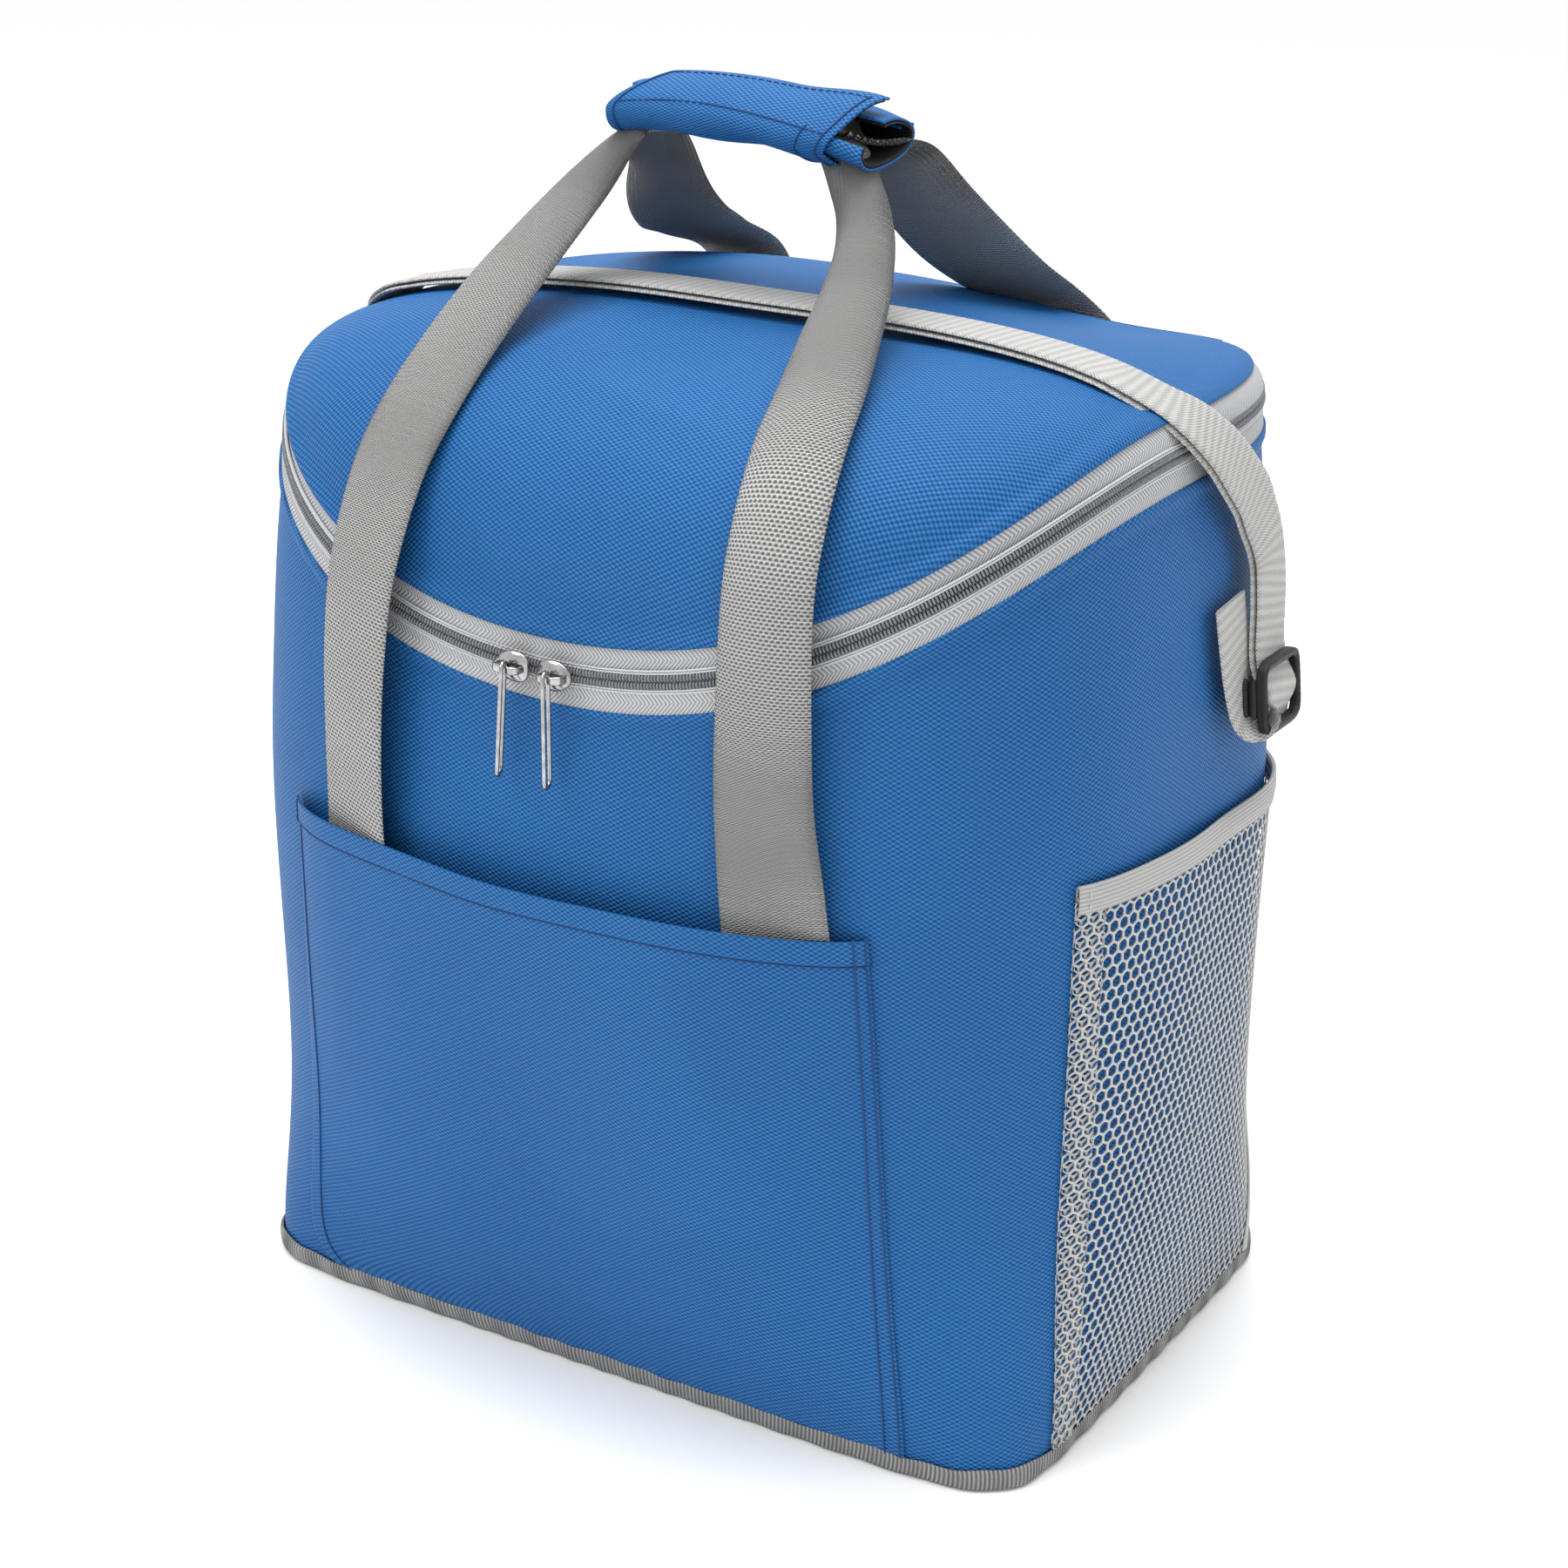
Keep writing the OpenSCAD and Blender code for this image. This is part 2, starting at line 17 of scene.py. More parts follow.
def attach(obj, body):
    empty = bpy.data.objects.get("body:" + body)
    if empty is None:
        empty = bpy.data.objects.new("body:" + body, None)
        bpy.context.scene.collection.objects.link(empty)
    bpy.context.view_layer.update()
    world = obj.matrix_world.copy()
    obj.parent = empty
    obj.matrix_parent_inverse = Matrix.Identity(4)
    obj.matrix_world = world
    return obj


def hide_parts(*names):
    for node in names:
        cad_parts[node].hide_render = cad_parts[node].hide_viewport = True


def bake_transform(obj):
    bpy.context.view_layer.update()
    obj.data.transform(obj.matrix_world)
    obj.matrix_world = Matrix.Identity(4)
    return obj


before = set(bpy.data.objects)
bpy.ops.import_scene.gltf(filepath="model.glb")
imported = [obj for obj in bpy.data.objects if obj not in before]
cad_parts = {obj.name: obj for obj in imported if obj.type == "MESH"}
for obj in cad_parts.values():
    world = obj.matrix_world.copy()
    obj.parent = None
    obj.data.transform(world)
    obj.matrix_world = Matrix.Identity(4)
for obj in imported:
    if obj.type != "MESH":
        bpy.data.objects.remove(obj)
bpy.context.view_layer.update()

# ---- Sizes, in metres ----

# They are the CAD part's sizes, but for the bulge of the side walls, the room in the mesh
# pockets, the length of the grip and the strap's place, which follow the photograph.

HALF_W = 0.17
HALF_D = 0.118
RIGHT_BULGE = 0.0125
LEFT_BULGE = 0.0185
FRONT_BULGE = 0.013
RIM_HALF_W = 0.168
RIM_FRONT = 0.142
RIM_BACK = 0.121
SIDE_RIM_Z = 0.355
FRONT_RIM_Z = 0.281
BACK_SLOPE = 0.05
CROWN_Z = 0.385
CROWN_Y = -0.01
LID_POWER = 2.8
ZIP_LEAN = math.radians(19)
ARC_RISE = (SIDE_RIM_Z - FRONT_RIM_Z) / math.cos(ZIP_LEAN)
ARC_R = (RIM_HALF_W**2 + ARC_RISE**2) / (2 * ARC_RISE)
ARC_CENTRE = np.array([
    0,
    -RIM_FRONT + ARC_R * math.sin(ZIP_LEAN),
    FRONT_RIM_Z + ARC_R * math.cos(ZIP_LEAN),
])
ZIP_GAP = 0.0113          # from the zip line to the turned edge of the cloth
FOAM_EDGE = 0.009         # from the zip line to the cut edge of the foam and liner
ZIP_ENDS = (math.radians(-215), math.radians(35))
CLOTH_T = 0.0009
WEBBING_T = 0.0016
POCKET_Z = 0.207
POCKET_ROOM = 0.009
POCKET_LIFT = 0.0009
MESH_Z = 0.222
MESH_ROOM = 0.0015
MESH_ENDS = (math.radians(-27), math.radians(27))
GRIP_X = -0.005
GRIP_Y = -0.012
GRIP_Z = 0.448
GRIP_TILT = math.radians(8)
GRIP_HALF_L = 0.052
LEG_X = 0.084
HANDLE_W = 0.038
STRAP_W = 0.025
REAR_PIVOT = (0.124, 0.3)
STRAP_Y = -0.0275
ADJUSTER = np.array([0.188, 0.024, 0.264])
LEG_RUN = (-0.14, 0.08)

# ---- Shape of the body and lid ----


def lerp(a, b, k):
    return a + (b - a) * k


def smooth(x):
    x = np.clip(x, 0, 1)
    return x * x * (3 - 2 * x)


def join(*coordinates):
    """Points from their coordinates, stretched to one common shape."""
    return np.stack(np.broadcast_arrays(*coordinates), axis=-1)


def side_bulge(x):
    return np.where(x > 0, RIGHT_BULGE, LEFT_BULGE)


def plan_point(th, t, out):
    """Point of the rounded plan in direction th, at share t of the wall's height."""
    swell = 4 * t * (1 - t)
    wide = lerp(HALF_W, RIM_HALF_W, t) + side_bulge(np.cos(th)) * swell + out
    front = lerp(HALF_D, RIM_FRONT, t) + FRONT_BULGE * swell + out
    back = lerp(HALF_D, RIM_BACK, t) + out
    power = 2.8 + 0.4 * t + 7.5 * np.exp(-10 * t)
    reach = np.where(np.sin(th) < 0, front, back)
    r = (np.abs(np.cos(th) / wide) ** power + np.abs(np.sin(th) / reach) ** power) ** (-1 / power)
    return r * np.cos(th), r * np.sin(th)


def rim_z(th):
    x, y = plan_point(th, 1.0, 0.0)
    arc = FRONT_RIM_Z + math.cos(ZIP_LEAN) * (ARC_R - np.sqrt(ARC_R**2 - x**2))
    return np.where(y < 0, arc, SIDE_RIM_Z + BACK_SLOPE * y)


def wall_softness(th, z):
    """Slack of the cloth: long shallow waves that die out at the base."""
    wave = 0.0009 * np.sin(3 * th + 9 * z + 0.6) * np.sin(21 * z + 0.4)
    fold = 0.0007 * np.sin(7 * th - 30 * z) * np.exp(-(((z - 0.23) / 0.06) ** 2))
    pucker = 0.00035 * np.sin(55 * th) * np.exp(-z / 0.012)
    return (wave + fold) * smooth(z / 0.05) + pucker


def wall_point(th, z, out):
    x, y = plan_point(th, z / rim_z(th), out + wall_softness(th, z))
    return join(x, y, z)


def lid_softness(x, y):
    """Shallow hollows of the lid, a faint ridge across its front and a sag at the right rear."""
    hollow = 0.0012 * np.sin(23 * x + 1.1) * np.sin(31 * y + 0.5)
    across = (y + 0.112 + 0.25 * (x - 0.03)) / 0.006
    along = (x - 0.02) / 0.04
    ridge = 0.0012 * np.exp(-across**2 - along**2)
    sag = 0.014 * np.exp(-(((x - 0.088) / 0.055) ** 2)) * smooth((y + 0.005) / 0.11)
    crown = 0.004 * np.exp(-(((x + 0.045) / 0.06) ** 2) - ((y - 0.02) / 0.07) ** 2)
    return hollow + ridge + crown - sag


def lid_point(th, a, out):
    px, py = plan_point(th, 1.0, out)
    rho = np.clip(np.cos(a), 0, 1) ** (2 / LID_POWER)
    lift = np.clip(np.sin(a), 0, 1) ** (2 / LID_POWER)
    z0 = rim_z(th)
    x = px * rho
    y = py * rho + CROWN_Y * (1 - rho)
    z = z0 + (CROWN_Z + out - z0 + lid_softness(x, y)) * lift
    return join(x, y, z)


def lid_angle(th, rise):
    return np.arcsin(np.clip(rise / (CROWN_Z - rim_z(th)), 0, 1) ** (LID_POWER / 2))


def zip_point(th, d, out):
    """Point at distance d above the zip line, or below it where d is negative."""
    if d < 0:
        return wall_point(th, rim_z(th) + d, out)
    return lid_point(th, lid_angle(th, d), out)


def lid_top(x):
    rho = np.minimum(np.abs(x) * 1.02 / RIM_HALF_W, 0.999)
    dome = SIDE_RIM_Z + (CROWN_Z - SIDE_RIM_Z) * (1 - rho**LID_POWER) ** (1 / LID_POWER)
    return dome + lid_softness(x, STRAP_Y) * (1 - rho**6)


def front_wall_y(x, z, out):
    t = z / rim_z(np.arctan2(-HALF_D, x))
    swell = 4 * t * (1 - t)
    wide = lerp(HALF_W, RIM_HALF_W, t) + side_bulge(x) * swell + out
    front = lerp(HALF_D, RIM_FRONT, t) + FRONT_BULGE * swell + out
    power = 2.8 + 0.4 * t + 7.5 * np.exp(-10 * t)
    return -front * (1 - (np.abs(x) / wide) ** power) ** (1 / power)


def even_angles(count, first, last, t=0.6):
    """Directions spaced evenly along the plan at share t, and their distances along it."""
    th = np.linspace(first, last, 4000)
    x, y = plan_point(th, t, 0.0)
    run = np.concatenate([[0], np.cumsum(np.hypot(np.diff(x), np.diff(y)))])
    along = np.linspace(0, run[-1], count)
    return np.interp(along, run, th), along


def spline(points, steps):
    """A smooth curve through the points, with steps pieces between each two."""
    pts = np.array(points, float)
    padded = np.vstack([pts[:1], pts, pts[-1:]])
    u = np.arange(steps)[:, None] / steps
    parts = []
    for j in range(len(pts) - 1):
        a, b, c, d = padded[j : j + 4]
        parts.append(0.5 * (2 * b + (c - a) * u + (2 * a - 5 * b + 4 * c - d) * u**2
                            + (3 * b - a - 3 * c + d) * u**3))
    return np.vstack(parts + [pts[-1:]])


def rounded_outline(turn, half_x, half_y, power):
    """An ellipse whose sides are flattened, the more so the smaller the power."""
    x = half_x * np.sign(np.cos(turn)) * np.abs(np.cos(turn)) ** power
    y = half_y * np.sign(np.sin(turn)) * np.abs(np.sin(turn)) ** power
    return x, y


def unit(v):
    return v / np.linalg.norm(v, axis=-1, keepdims=True)


def run_length(points):
    steps = np.linalg.norm(np.diff(points, axis=0), axis=1)
    return np.concatenate([[0], np.cumsum(steps)])


def even_path(points, step):
    """The same path with points about step apart, and their distances along it."""
    run = run_length(points)
    along = np.linspace(0, run[-1], max(int(run[-1] / step), 2) + 1)
    return np.stack([np.interp(along, run, points[:, k]) for k in range(points.shape[1])], axis=1), along


# ---- Meshes ----


def add_mesh(name, verts, faces, material, uv=None):
    """A smooth-shaded object. uv holds one (u, v) for each corner of each face, in metres."""
    mesh = bpy.data.meshes.new(name)
    mesh.from_pydata(np.asarray(verts, float).reshape(-1, 3).tolist(), [], faces)
    mesh.polygons.foreach_set("use_smooth", np.ones(len(mesh.polygons), bool))
    if uv is not None:
        layer = mesh.uv_layers.new(name="metres")
        layer.data.foreach_set("uv", np.asarray(uv, np.float32).ravel())
    mesh.materials.append(material)
    mesh.update()
    obj = bpy.data.objects.new(name, mesh)
    bpy.context.scene.collection.objects.link(obj)
    return obj


def grid_faces(rows, cols, wrap=False):
    """Quads of a grid, and for each corner its row and column before wrapping."""
    j, i = np.meshgrid(np.arange(rows - 1), np.arange(cols - (not wrap)), indexing="ij")
    j, i = j.ravel(), i.ravel()
    jj = np.stack([j, j, j + 1, j + 1], axis=1)
    ii = np.stack([i, i + 1, i + 1, i], axis=1)
    return jj * cols + ii % cols, jj, ii


def add_grid(name, points, material, slot, u=None, v=None, wrap=False, flip=False):
    """A grid of points (rows, columns, 3). u may have one more value than columns where it wraps."""
    rows, cols = points.shape[:2]
    faces, jj, ii = grid_faces(rows, cols, wrap)
    u = run_length(points[rows // 2]) if u is None else np.asarray(u, float)
    v = run_length(points[:, cols // 2]) if v is None else np.asarray(v, float)
    if u.ndim == 1:
        if len(u) < cols + wrap:
            u = np.append(u, u[-1] + (u[-1] - u[-2]))
        u_at = u[ii]
    else:
        u_at = u[jj, ii % cols]
    v_at = v[jj] if v.ndim == 1 else v[jj, ii % cols]
    uv = np.stack([u_at, v_at], axis=-1)
    if flip:
        faces = faces[:, ::-1]
        uv = uv[:, ::-1]
    return add_mesh(name, points, faces.tolist(), material, uv)


def thicken(obj, thickness, offset=-1.0):
    """Gives a surface its cloth thickness: inwards, or to both sides where offset is 0."""
    modifier = obj.modifiers.new("thickness", "SOLIDIFY")
    modifier.thickness = thickness
    modifier.offset = offset
    modifier.use_even_offset = False
    return obj


def add_cloth(name, points, material, slot, body, thickness, node=None, offset=-1.0, **grid):
    """A thickened grid that rides on a body, and stands for a CAD node where one is given."""
    cloth = thicken(add_grid(name, points, material, slot, **grid), thickness, offset)
    if node:
        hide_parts(node)
    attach(cloth, body)
    return cloth


def add_copies(name, template, places, along, across, up, material):
    """One mesh with a copy of the template at each place, turned to the three directions there."""
    verts, faces = template
    verts = np.asarray(verts, float)
    out = (places[:, None, :] + verts[None, :, 0:1] * along[:, None, :]
           + verts[None, :, 1:2] * across[:, None, :] + verts[None, :, 2:3] * up[:, None, :])
    count = len(verts)
    all_faces = (np.asarray(faces)[None] + count * np.arange(len(places))[:, None, None]).reshape(-1, 4)
    return add_mesh(name, out.reshape(-1, 3), all_faces.tolist(), material)


def add_one(name, template, material):
    """The template on its own, where its path was given."""
    x, y, z = np.eye(3)[:, None]
    return add_copies(name, template, np.zeros((1, 3)), x, y, z, material)


def tube_template(path, radii, sides=6):
    """A tube along a path of (along, across, up) points, as a template for copies."""
    path = np.array(path, float)
    direction = unit(np.gradient(path, axis=0))
    helper = np.array([0.0, 0.0, 1.0]) if abs(direction[:, 2]).max() < 0.9 else np.array([1.0, 0.0, 0.0])
    side = unit(np.cross(direction, helper))
    other = np.cross(side, direction)
    turn = np.linspace(0, 2 * math.pi, sides, endpoint=False)
    ring = np.cos(turn)[None, :, None] * side[:, None] + np.sin(turn)[None, :, None] * other[:, None]
    verts = path[:, None] + ring * np.asarray(radii, float)[:, None, None]
    faces, _, _ = grid_faces(len(path), sides, wrap=True)
    return verts.reshape(-1, 3), faces


def add_stitches(name, path, normal, material, body, pitch=0.003, length=0.0023, radius=0.00032):
    """Stitches along a path on a body: short capsules that dip into the cloth at their ends."""
    spaced, _ = even_path(np.hstack([path, normal]), pitch)
    centre = (spaced[1:, :3] + spaced[:-1, :3]) / 2
    along = unit(spaced[1:, :3] - spaced[:-1, :3])
    up = unit((spaced[1:, 3:] + spaced[:-1, 3:]) / 2)
    across = unit(np.cross(up, along))
    half = length / 2
    template = tube_template(
        [(-half, 0, -radius), (-0.7 * half, 0, 0.2 * radius), (0, 0, 0.5 * radius),
         (0.7 * half, 0, 0.2 * radius), (half, 0, -radius)],
        [0.3 * radius, 0.9 * radius, radius, 0.9 * radius, 0.3 * radius])
    up = np.cross(along, across)
    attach(add_copies(name, template, centre, along, across, up, material), body)


def surface_rows(points):
    """Outward normals of a grid of points (rows up, columns to the right seen from outside)."""
    right = np.gradient(points, axis=1)
    upward = np.gradient(points, axis=0)
    return unit(np.cross(right, upward))


def webbing(name, path, side, material, slot, width=HANDLE_W, widths=None, thickness=WEBBING_T,
            curl=None, step=0.0008, across=14):
    """Woven tape along a path. side is its width direction, and curl bends it into a channel."""
    widths = np.full(len(path), width) if widths is None else widths
    curl = np.zeros(len(path)) if curl is None else curl
    data, run = even_path(np.hstack([path, side, widths[:, None], curl[:, None]]), step)
    centre = data[:, :3]
    along = unit(np.gradient(centre, axis=0))
    out = unit(np.cross(along, data[:, 3:6]))
    to_side = unit(np.cross(out, along))
    c = np.linspace(-1, 1, across + 1)
    edge = 1 + 0.012 * np.sin(2 * math.pi * run / 0.0024)
    half = data[:, 6] / 2 * edge
    roll = np.maximum(data[:, 7:8], 1e-5)
    bend = roll * c[None]
    x = np.sin(bend) / roll * half[:, None]
    y = (1 - np.cos(bend)) / roll * half[:, None]
    face_x = -np.sin(bend)
    face_y = np.cos(bend)
    round_off = (1 - np.abs(c[None]) ** 10 * 0.75) * thickness / 2
    rings = []
    for sign in (1, -1):
        px = x + sign * face_x * round_off
        py = y + sign * face_y * round_off
        rings.append(centre[:, None] + px[..., None] * to_side[:, None] + py[..., None] * out[:, None])
    loop = np.concatenate([rings[0], rings[1][:, ::-1]], axis=1)
    u = np.concatenate([c, c[::-1], c[:1]]) * width / 2
    obj = add_grid(name, loop, material, slot, u=u, v=run, wrap=True)
    cap_ends(obj, loop.shape[1], loop.shape[0])
    return obj


@contextmanager
def edited(mesh):
    """The mesh opened as a bmesh, and written back afterwards."""
    bm = bmesh.new()
    bm.from_mesh(mesh)
    yield bm
    bm.to_mesh(mesh)
    bm.free()


def cap_ends(obj, cols, rows, first=True):
    """Closes the last row of a wrapped grid, and its first row too unless first is False."""
    with edited(obj.data) as bm:
        bm.verts.ensure_lookup_table()
        if first:
            bm.faces.new([bm.verts[k] for k in range(cols)][::-1])
        bm.faces.new([bm.verts[(rows - 1) * cols + k] for k in range(cols)])


# ---- Materials ----


class Shader:
    """A material with a few short ways to add nodes."""

    def __init__(self, name, roughness, metallic=0.0, specular=0.5, sheen=0.0):
        self.material = bpy.data.materials.new(name)
        self.material.use_nodes = True
        self.tree = self.material.node_tree
        self.surface = self.tree.nodes["Principled BSDF"]
        self.surface.inputs["Roughness"].default_value = roughness
        self.surface.inputs["Metallic"].default_value = metallic
        self.surface.inputs["Specular IOR Level"].default_value = specular
        self.surface.inputs["Sheen Weight"].default_value = sheen
        self.surface.inputs["Sheen Roughness"].default_value = 0.5

    def add(self, kind, **settings):
        node = self.tree.nodes.new(kind)
        for key, value in settings.items():
            setattr(node, key, value)
        return node

    def link(self, source, target):
        self.tree.links.new(source, target)

    def math(self, operation, a, b=None, c=None):
        node = self.add("ShaderNodeMath", operation=operation)
        for socket, value in zip(node.inputs, (a, b, c)):
            if value is None:
                continue
            if isinstance(value, (int, float)):
                socket.default_value = value
            else:
                self.link(value, socket)
        return node.outputs[0]

    def metres(self):
        uv = self.add("ShaderNodeUVMap", uv_map="metres")
        parts = self.add("ShaderNodeSeparateXYZ")
        self.link(uv.outputs[0], parts.inputs[0])
        return parts.outputs[0], parts.outputs[1]

    def wave(self, value, period):
        return self.math("SINE", self.math("MULTIPLY", value, 2 * math.pi / period))

    def fuzz(self, scale, amount):
        """Fine noise round zero, for loose fibres."""
        return self.math("MULTIPLY", self.math("SUBTRACT", self.noise(scale, 2.0), 0.5), amount)

    def crossed(self, u, v, across, along):
        """Yarns in two directions, as domes and dips."""
        return self.math("MULTIPLY", self.wave(u, across), self.wave(v, along))

    def noise(self, scale, detail=3.0, roughness=0.5):
        place = self.add("ShaderNodeTexCoord")
        node = self.add("ShaderNodeTexNoise")
        node.inputs["Scale"].default_value = scale
        node.inputs["Detail"].default_value = detail
        node.inputs["Roughness"].default_value = roughness
        self.link(place.outputs["Object"], node.inputs["Vector"])
        return node.outputs["Fac"]

    def colour(self, factor, stops):
        ramp = self.add("ShaderNodeValToRGB")
        elements = ramp.color_ramp.elements
        for position, _ in stops[1:-1]:
            elements.new(position)
        for element, (position, value) in zip(elements, stops):
            element.position = position
            element.color = (*value, 1)
        self.link(factor, ramp.inputs[0])
        self.link(ramp.outputs[0], self.surface.inputs["Base Color"])

    def bump(self, height, distance):
        node = self.add("ShaderNodeBump")
        node.inputs["Distance"].default_value = distance
        node.inputs["Strength"].default_value = 1.0
        self.link(height, node.inputs["Height"])
        self.link(node.outputs[0], self.surface.inputs["Normal"])


def srgb(r, g, b):
    """A colour given as 0-255 display values, in the linear values that shaders take."""
    return tuple(((c / 255 + 0.055) / 1.055) ** 2.4 if c > 10 else c / 255 / 12.92 for c in (r, g, b))


def share_of(shader, value, amount):
    """Brings a -1..1 value to 0..1 and mixes in an amount of slow noise."""
    half = shader.math("MULTIPLY_ADD", value, 0.5, 0.5)
    return shader.math("ADD", half, shader.fuzz(9.0, amount))


def oxford_cloth(name, dark, mid, light):
    """Coarse polyester: staggered shiny yarn domes with dark gaps between them."""
    shader = Shader(name, 0.58, specular=0.22)
    u, v = shader.metres()
    height = shader.math("ADD", shader.crossed(u, v, 0.0028, 0.0017), shader.fuzz(1500.0, 0.5))
    shader.colour(share_of(shader, height, 0.25), [(0.12, dark), (0.5, mid), (0.95, light)])
    shader.bump(height, 0.00016)
    return shader.material


def woven_tape(name, dark, mid, light, across, along, depth):
    """Webbing: rows of staggered raised stitches."""
    shader = Shader(name, 0.72, specular=0.3, sheen=0.1)
    u, v = shader.metres()
    rows = shader.math("MULTIPLY", shader.wave(v, along / 2), 0.9)
    weave = shader.math("ADD", shader.crossed(u, v, across, along), rows)
    height = shader.math("ADD", weave, shader.fuzz(2200.0, 0.5))
    shader.colour(share_of(shader, height, 0.12), [(0.0, dark), (0.4, mid), (0.85, light)])
    shader.bump(height, depth)
    return shader.material


def twill_tape(name, dark, mid, light):
    """Strap webbing: fine cords with slanting bands."""
    shader = Shader(name, 0.75, specular=0.25, sheen=0.1)
    u, v = shader.metres()
    slant = shader.math("MULTIPLY_ADD", u, 0.1, v)
    bands = shader.math("MULTIPLY", shader.wave(slant, 0.0038), 0.35)
    weave = shader.math("ADD", shader.crossed(u, v, 0.0014, 0.0013), bands)
    height = shader.math("ADD", weave, shader.fuzz(2500.0, 0.5))
    shader.colour(share_of(shader, height, 0.12), [(0.0, dark), (0.45, mid), (1.0, light)])
    shader.bump(height, 0.00014)
    return shader.material


def herringbone(name, dark, mid, light):
    """Zip tape: chevrons whose arms slope to either side of each cord."""
    shader = Shader(name, 0.8, specular=0.25)
    u, v = shader.metres()
    zigzag = shader.math("PINGPONG", v, 0.0036)
    height = shader.wave(shader.math("MULTIPLY_ADD", zigzag, 0.9, u), 0.0016)
    shader.colour(share_of(shader, height, 0.1), [(0.0, dark), (0.5, mid), (1.0, light)])
    shader.bump(height, 0.00012)
    return shader.material


def ribbed(name, dark, mid, light, pitch, depth, lengthwise=False):
    """Grosgrain tape, with ribs across its length or along it."""
    shader = Shader(name, 0.8, specular=0.25)
    u, v = shader.metres()
    height = shader.math("ADD", shader.wave(v if lengthwise else u, pitch), shader.fuzz(1800.0, 0.7))
    shader.colour(share_of(shader, height, 0.15), [(0.0, dark), (0.5, mid), (1.0, light)])
    shader.bump(height, depth)
    return shader.material


def grained(name, low, high, scale, depth, roughness, metallic=0.0, specular=0.5):
    """A plain surface with fine grain: foam, foil, metal or moulded plastic."""
    shader = Shader(name, roughness, metallic, specular)
    grain = shader.noise(scale, 4.0, 0.6)
    shader.colour(grain, [(0.3, low), (0.7, high)])
    shader.bump(grain, depth)
    return shader.material


BLUE = oxford_cloth("oxford_blue", srgb(12, 58, 108), srgb(22, 88, 148), srgb(44, 116, 178))
LINING = oxford_cloth("oxford_lining", srgb(6, 6, 8), srgb(14, 14, 16), srgb(28, 28, 31))
WEBBING = woven_tape("carry_webbing", srgb(96, 96, 95), srgb(172, 172, 171), srgb(216, 216, 215),
                     0.0021, 0.006, 0.0006)
STRAP = twill_tape("strap_webbing", srgb(132, 132, 131), srgb(168, 168, 166), srgb(198, 198, 196))
TAPE = herringbone("zip_tape", srgb(138, 139, 142), srgb(170, 171, 174), srgb(196, 197, 199))
BINDING = ribbed("bottom_binding", srgb(92, 92, 91), srgb(128, 128, 127), srgb(158, 158, 157),
                 0.0016, 0.0002)
ELASTIC = ribbed("pocket_tape", srgb(150, 150, 149), srgb(164, 164, 163), srgb(178, 178, 177),
                 0.0015, 0.00006, lengthwise=True)
NET = grained("pocket_net", srgb(164, 164, 163), srgb(196, 196, 195), 1400.0, 0.0001, 0.75)
COIL = grained("zip_coil", srgb(92, 94, 100), srgb(128, 130, 136), 900.0, 0.00003, 0.45)
NICKEL = grained("nickel", srgb(150, 149, 147), srgb(186, 185, 183), 300.0, 0.00001, 0.2, metallic=1.0)
PLASTIC = grained("buckle_plastic", srgb(16, 16, 18), srgb(26, 26, 28), 900.0, 0.00004, 0.5, specular=0.4)
FOAM = grained("foam", srgb(205, 205, 200), srgb(226, 226, 222), 700.0, 0.0003, 0.9)
FOIL = grained("foil_liner", srgb(158, 160, 164), srgb(196, 198, 202), 38.0, 0.004, 0.3, metallic=0.85)
HOOKS = grained("hook_and_loop", srgb(10, 10, 11), srgb(30, 30, 32), 2600.0, 0.0006, 0.95)
BOARD = grained("base_board", srgb(24, 24, 26), srgb(40, 40, 42), 120.0, 0.0001, 0.7)
BLUE_THREAD = grained("blue_thread", srgb(6, 46, 96), srgb(16, 68, 126), 3000.0, 0.00005, 0.7)
GREY_THREAD = grained("grey_thread", srgb(172, 172, 170), srgb(202, 202, 200), 3000.0, 0.00005, 0.7)
WHITE_THREAD = grained("zip_stitching", srgb(176, 177, 179), srgb(204, 205, 207), 3000.0, 0.00005, 0.65)

# ---- Walls, base and what is inside them ----

AROUND, AROUND_RUN = even_angles(385, -math.pi, math.pi)
RING = AROUND[:-1]


def wall_edge_lift(d):
    """How far the cloth rises over the zip tape, at distance d from the zip line."""
    return 0.0017 * smooth((0.0178 - d) / 0.005)


def wall_grid(inset, bottom, rows, edge=ZIP_GAP, lifted=False):
    share = np.linspace(0, 1, rows)[:, None] ** 0.9
    z = lerp(bottom, rim_z(RING)[None] - edge, share)
    out = wall_edge_lift(rim_z(RING)[None] - z) if lifted else 0.0
    return wall_point(RING[None], z, out - inset)


def build_wall_cloth():
    """The wall's cloth, with its upper edge turned in over the zip tape."""
    walls = wall_grid(0.0, 0.0035, 120, lifted=True)
    turned = [wall_point(RING, rim_z(RING) - ZIP_GAP + rise, 0.0017 - drop)
              for rise, drop in ((0.0005, 0.0003), (0.0005, 0.0009), (0.0, 0.0012))]
    points = np.concatenate([walls, np.array(turned)])
    cloth = add_cloth("wall_cloth", points, BLUE, "fabric", "bag", CLOTH_T, "outer_shell",
                      u=AROUND_RUN, v=points[..., 2], wrap=True)


def floor_rings(inset, z, scales):
    edge = wall_point(RING, z, -inset)
    return [edge * np.array([s, s, 1]) for s in scales]


def tub_rings(inset, floor_z, rows):
    """A floor from its middle outwards, then walls up to the foam's cut edge."""
    floor = floor_rings(inset, floor_z, np.linspace(0.02, 0.96, 14))
    return floor + list(wall_grid(inset, floor_z, rows, FOAM_EDGE))


def add_padding(name, rings, node, body):
    """Closed foam between two nested sets of rings."""
    padding = add_grid(name, np.array(rings), FOAM, "foam", wrap=True)
    cap_ends(padding, len(RING), len(rings))
    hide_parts(node)
    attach(padding, body)


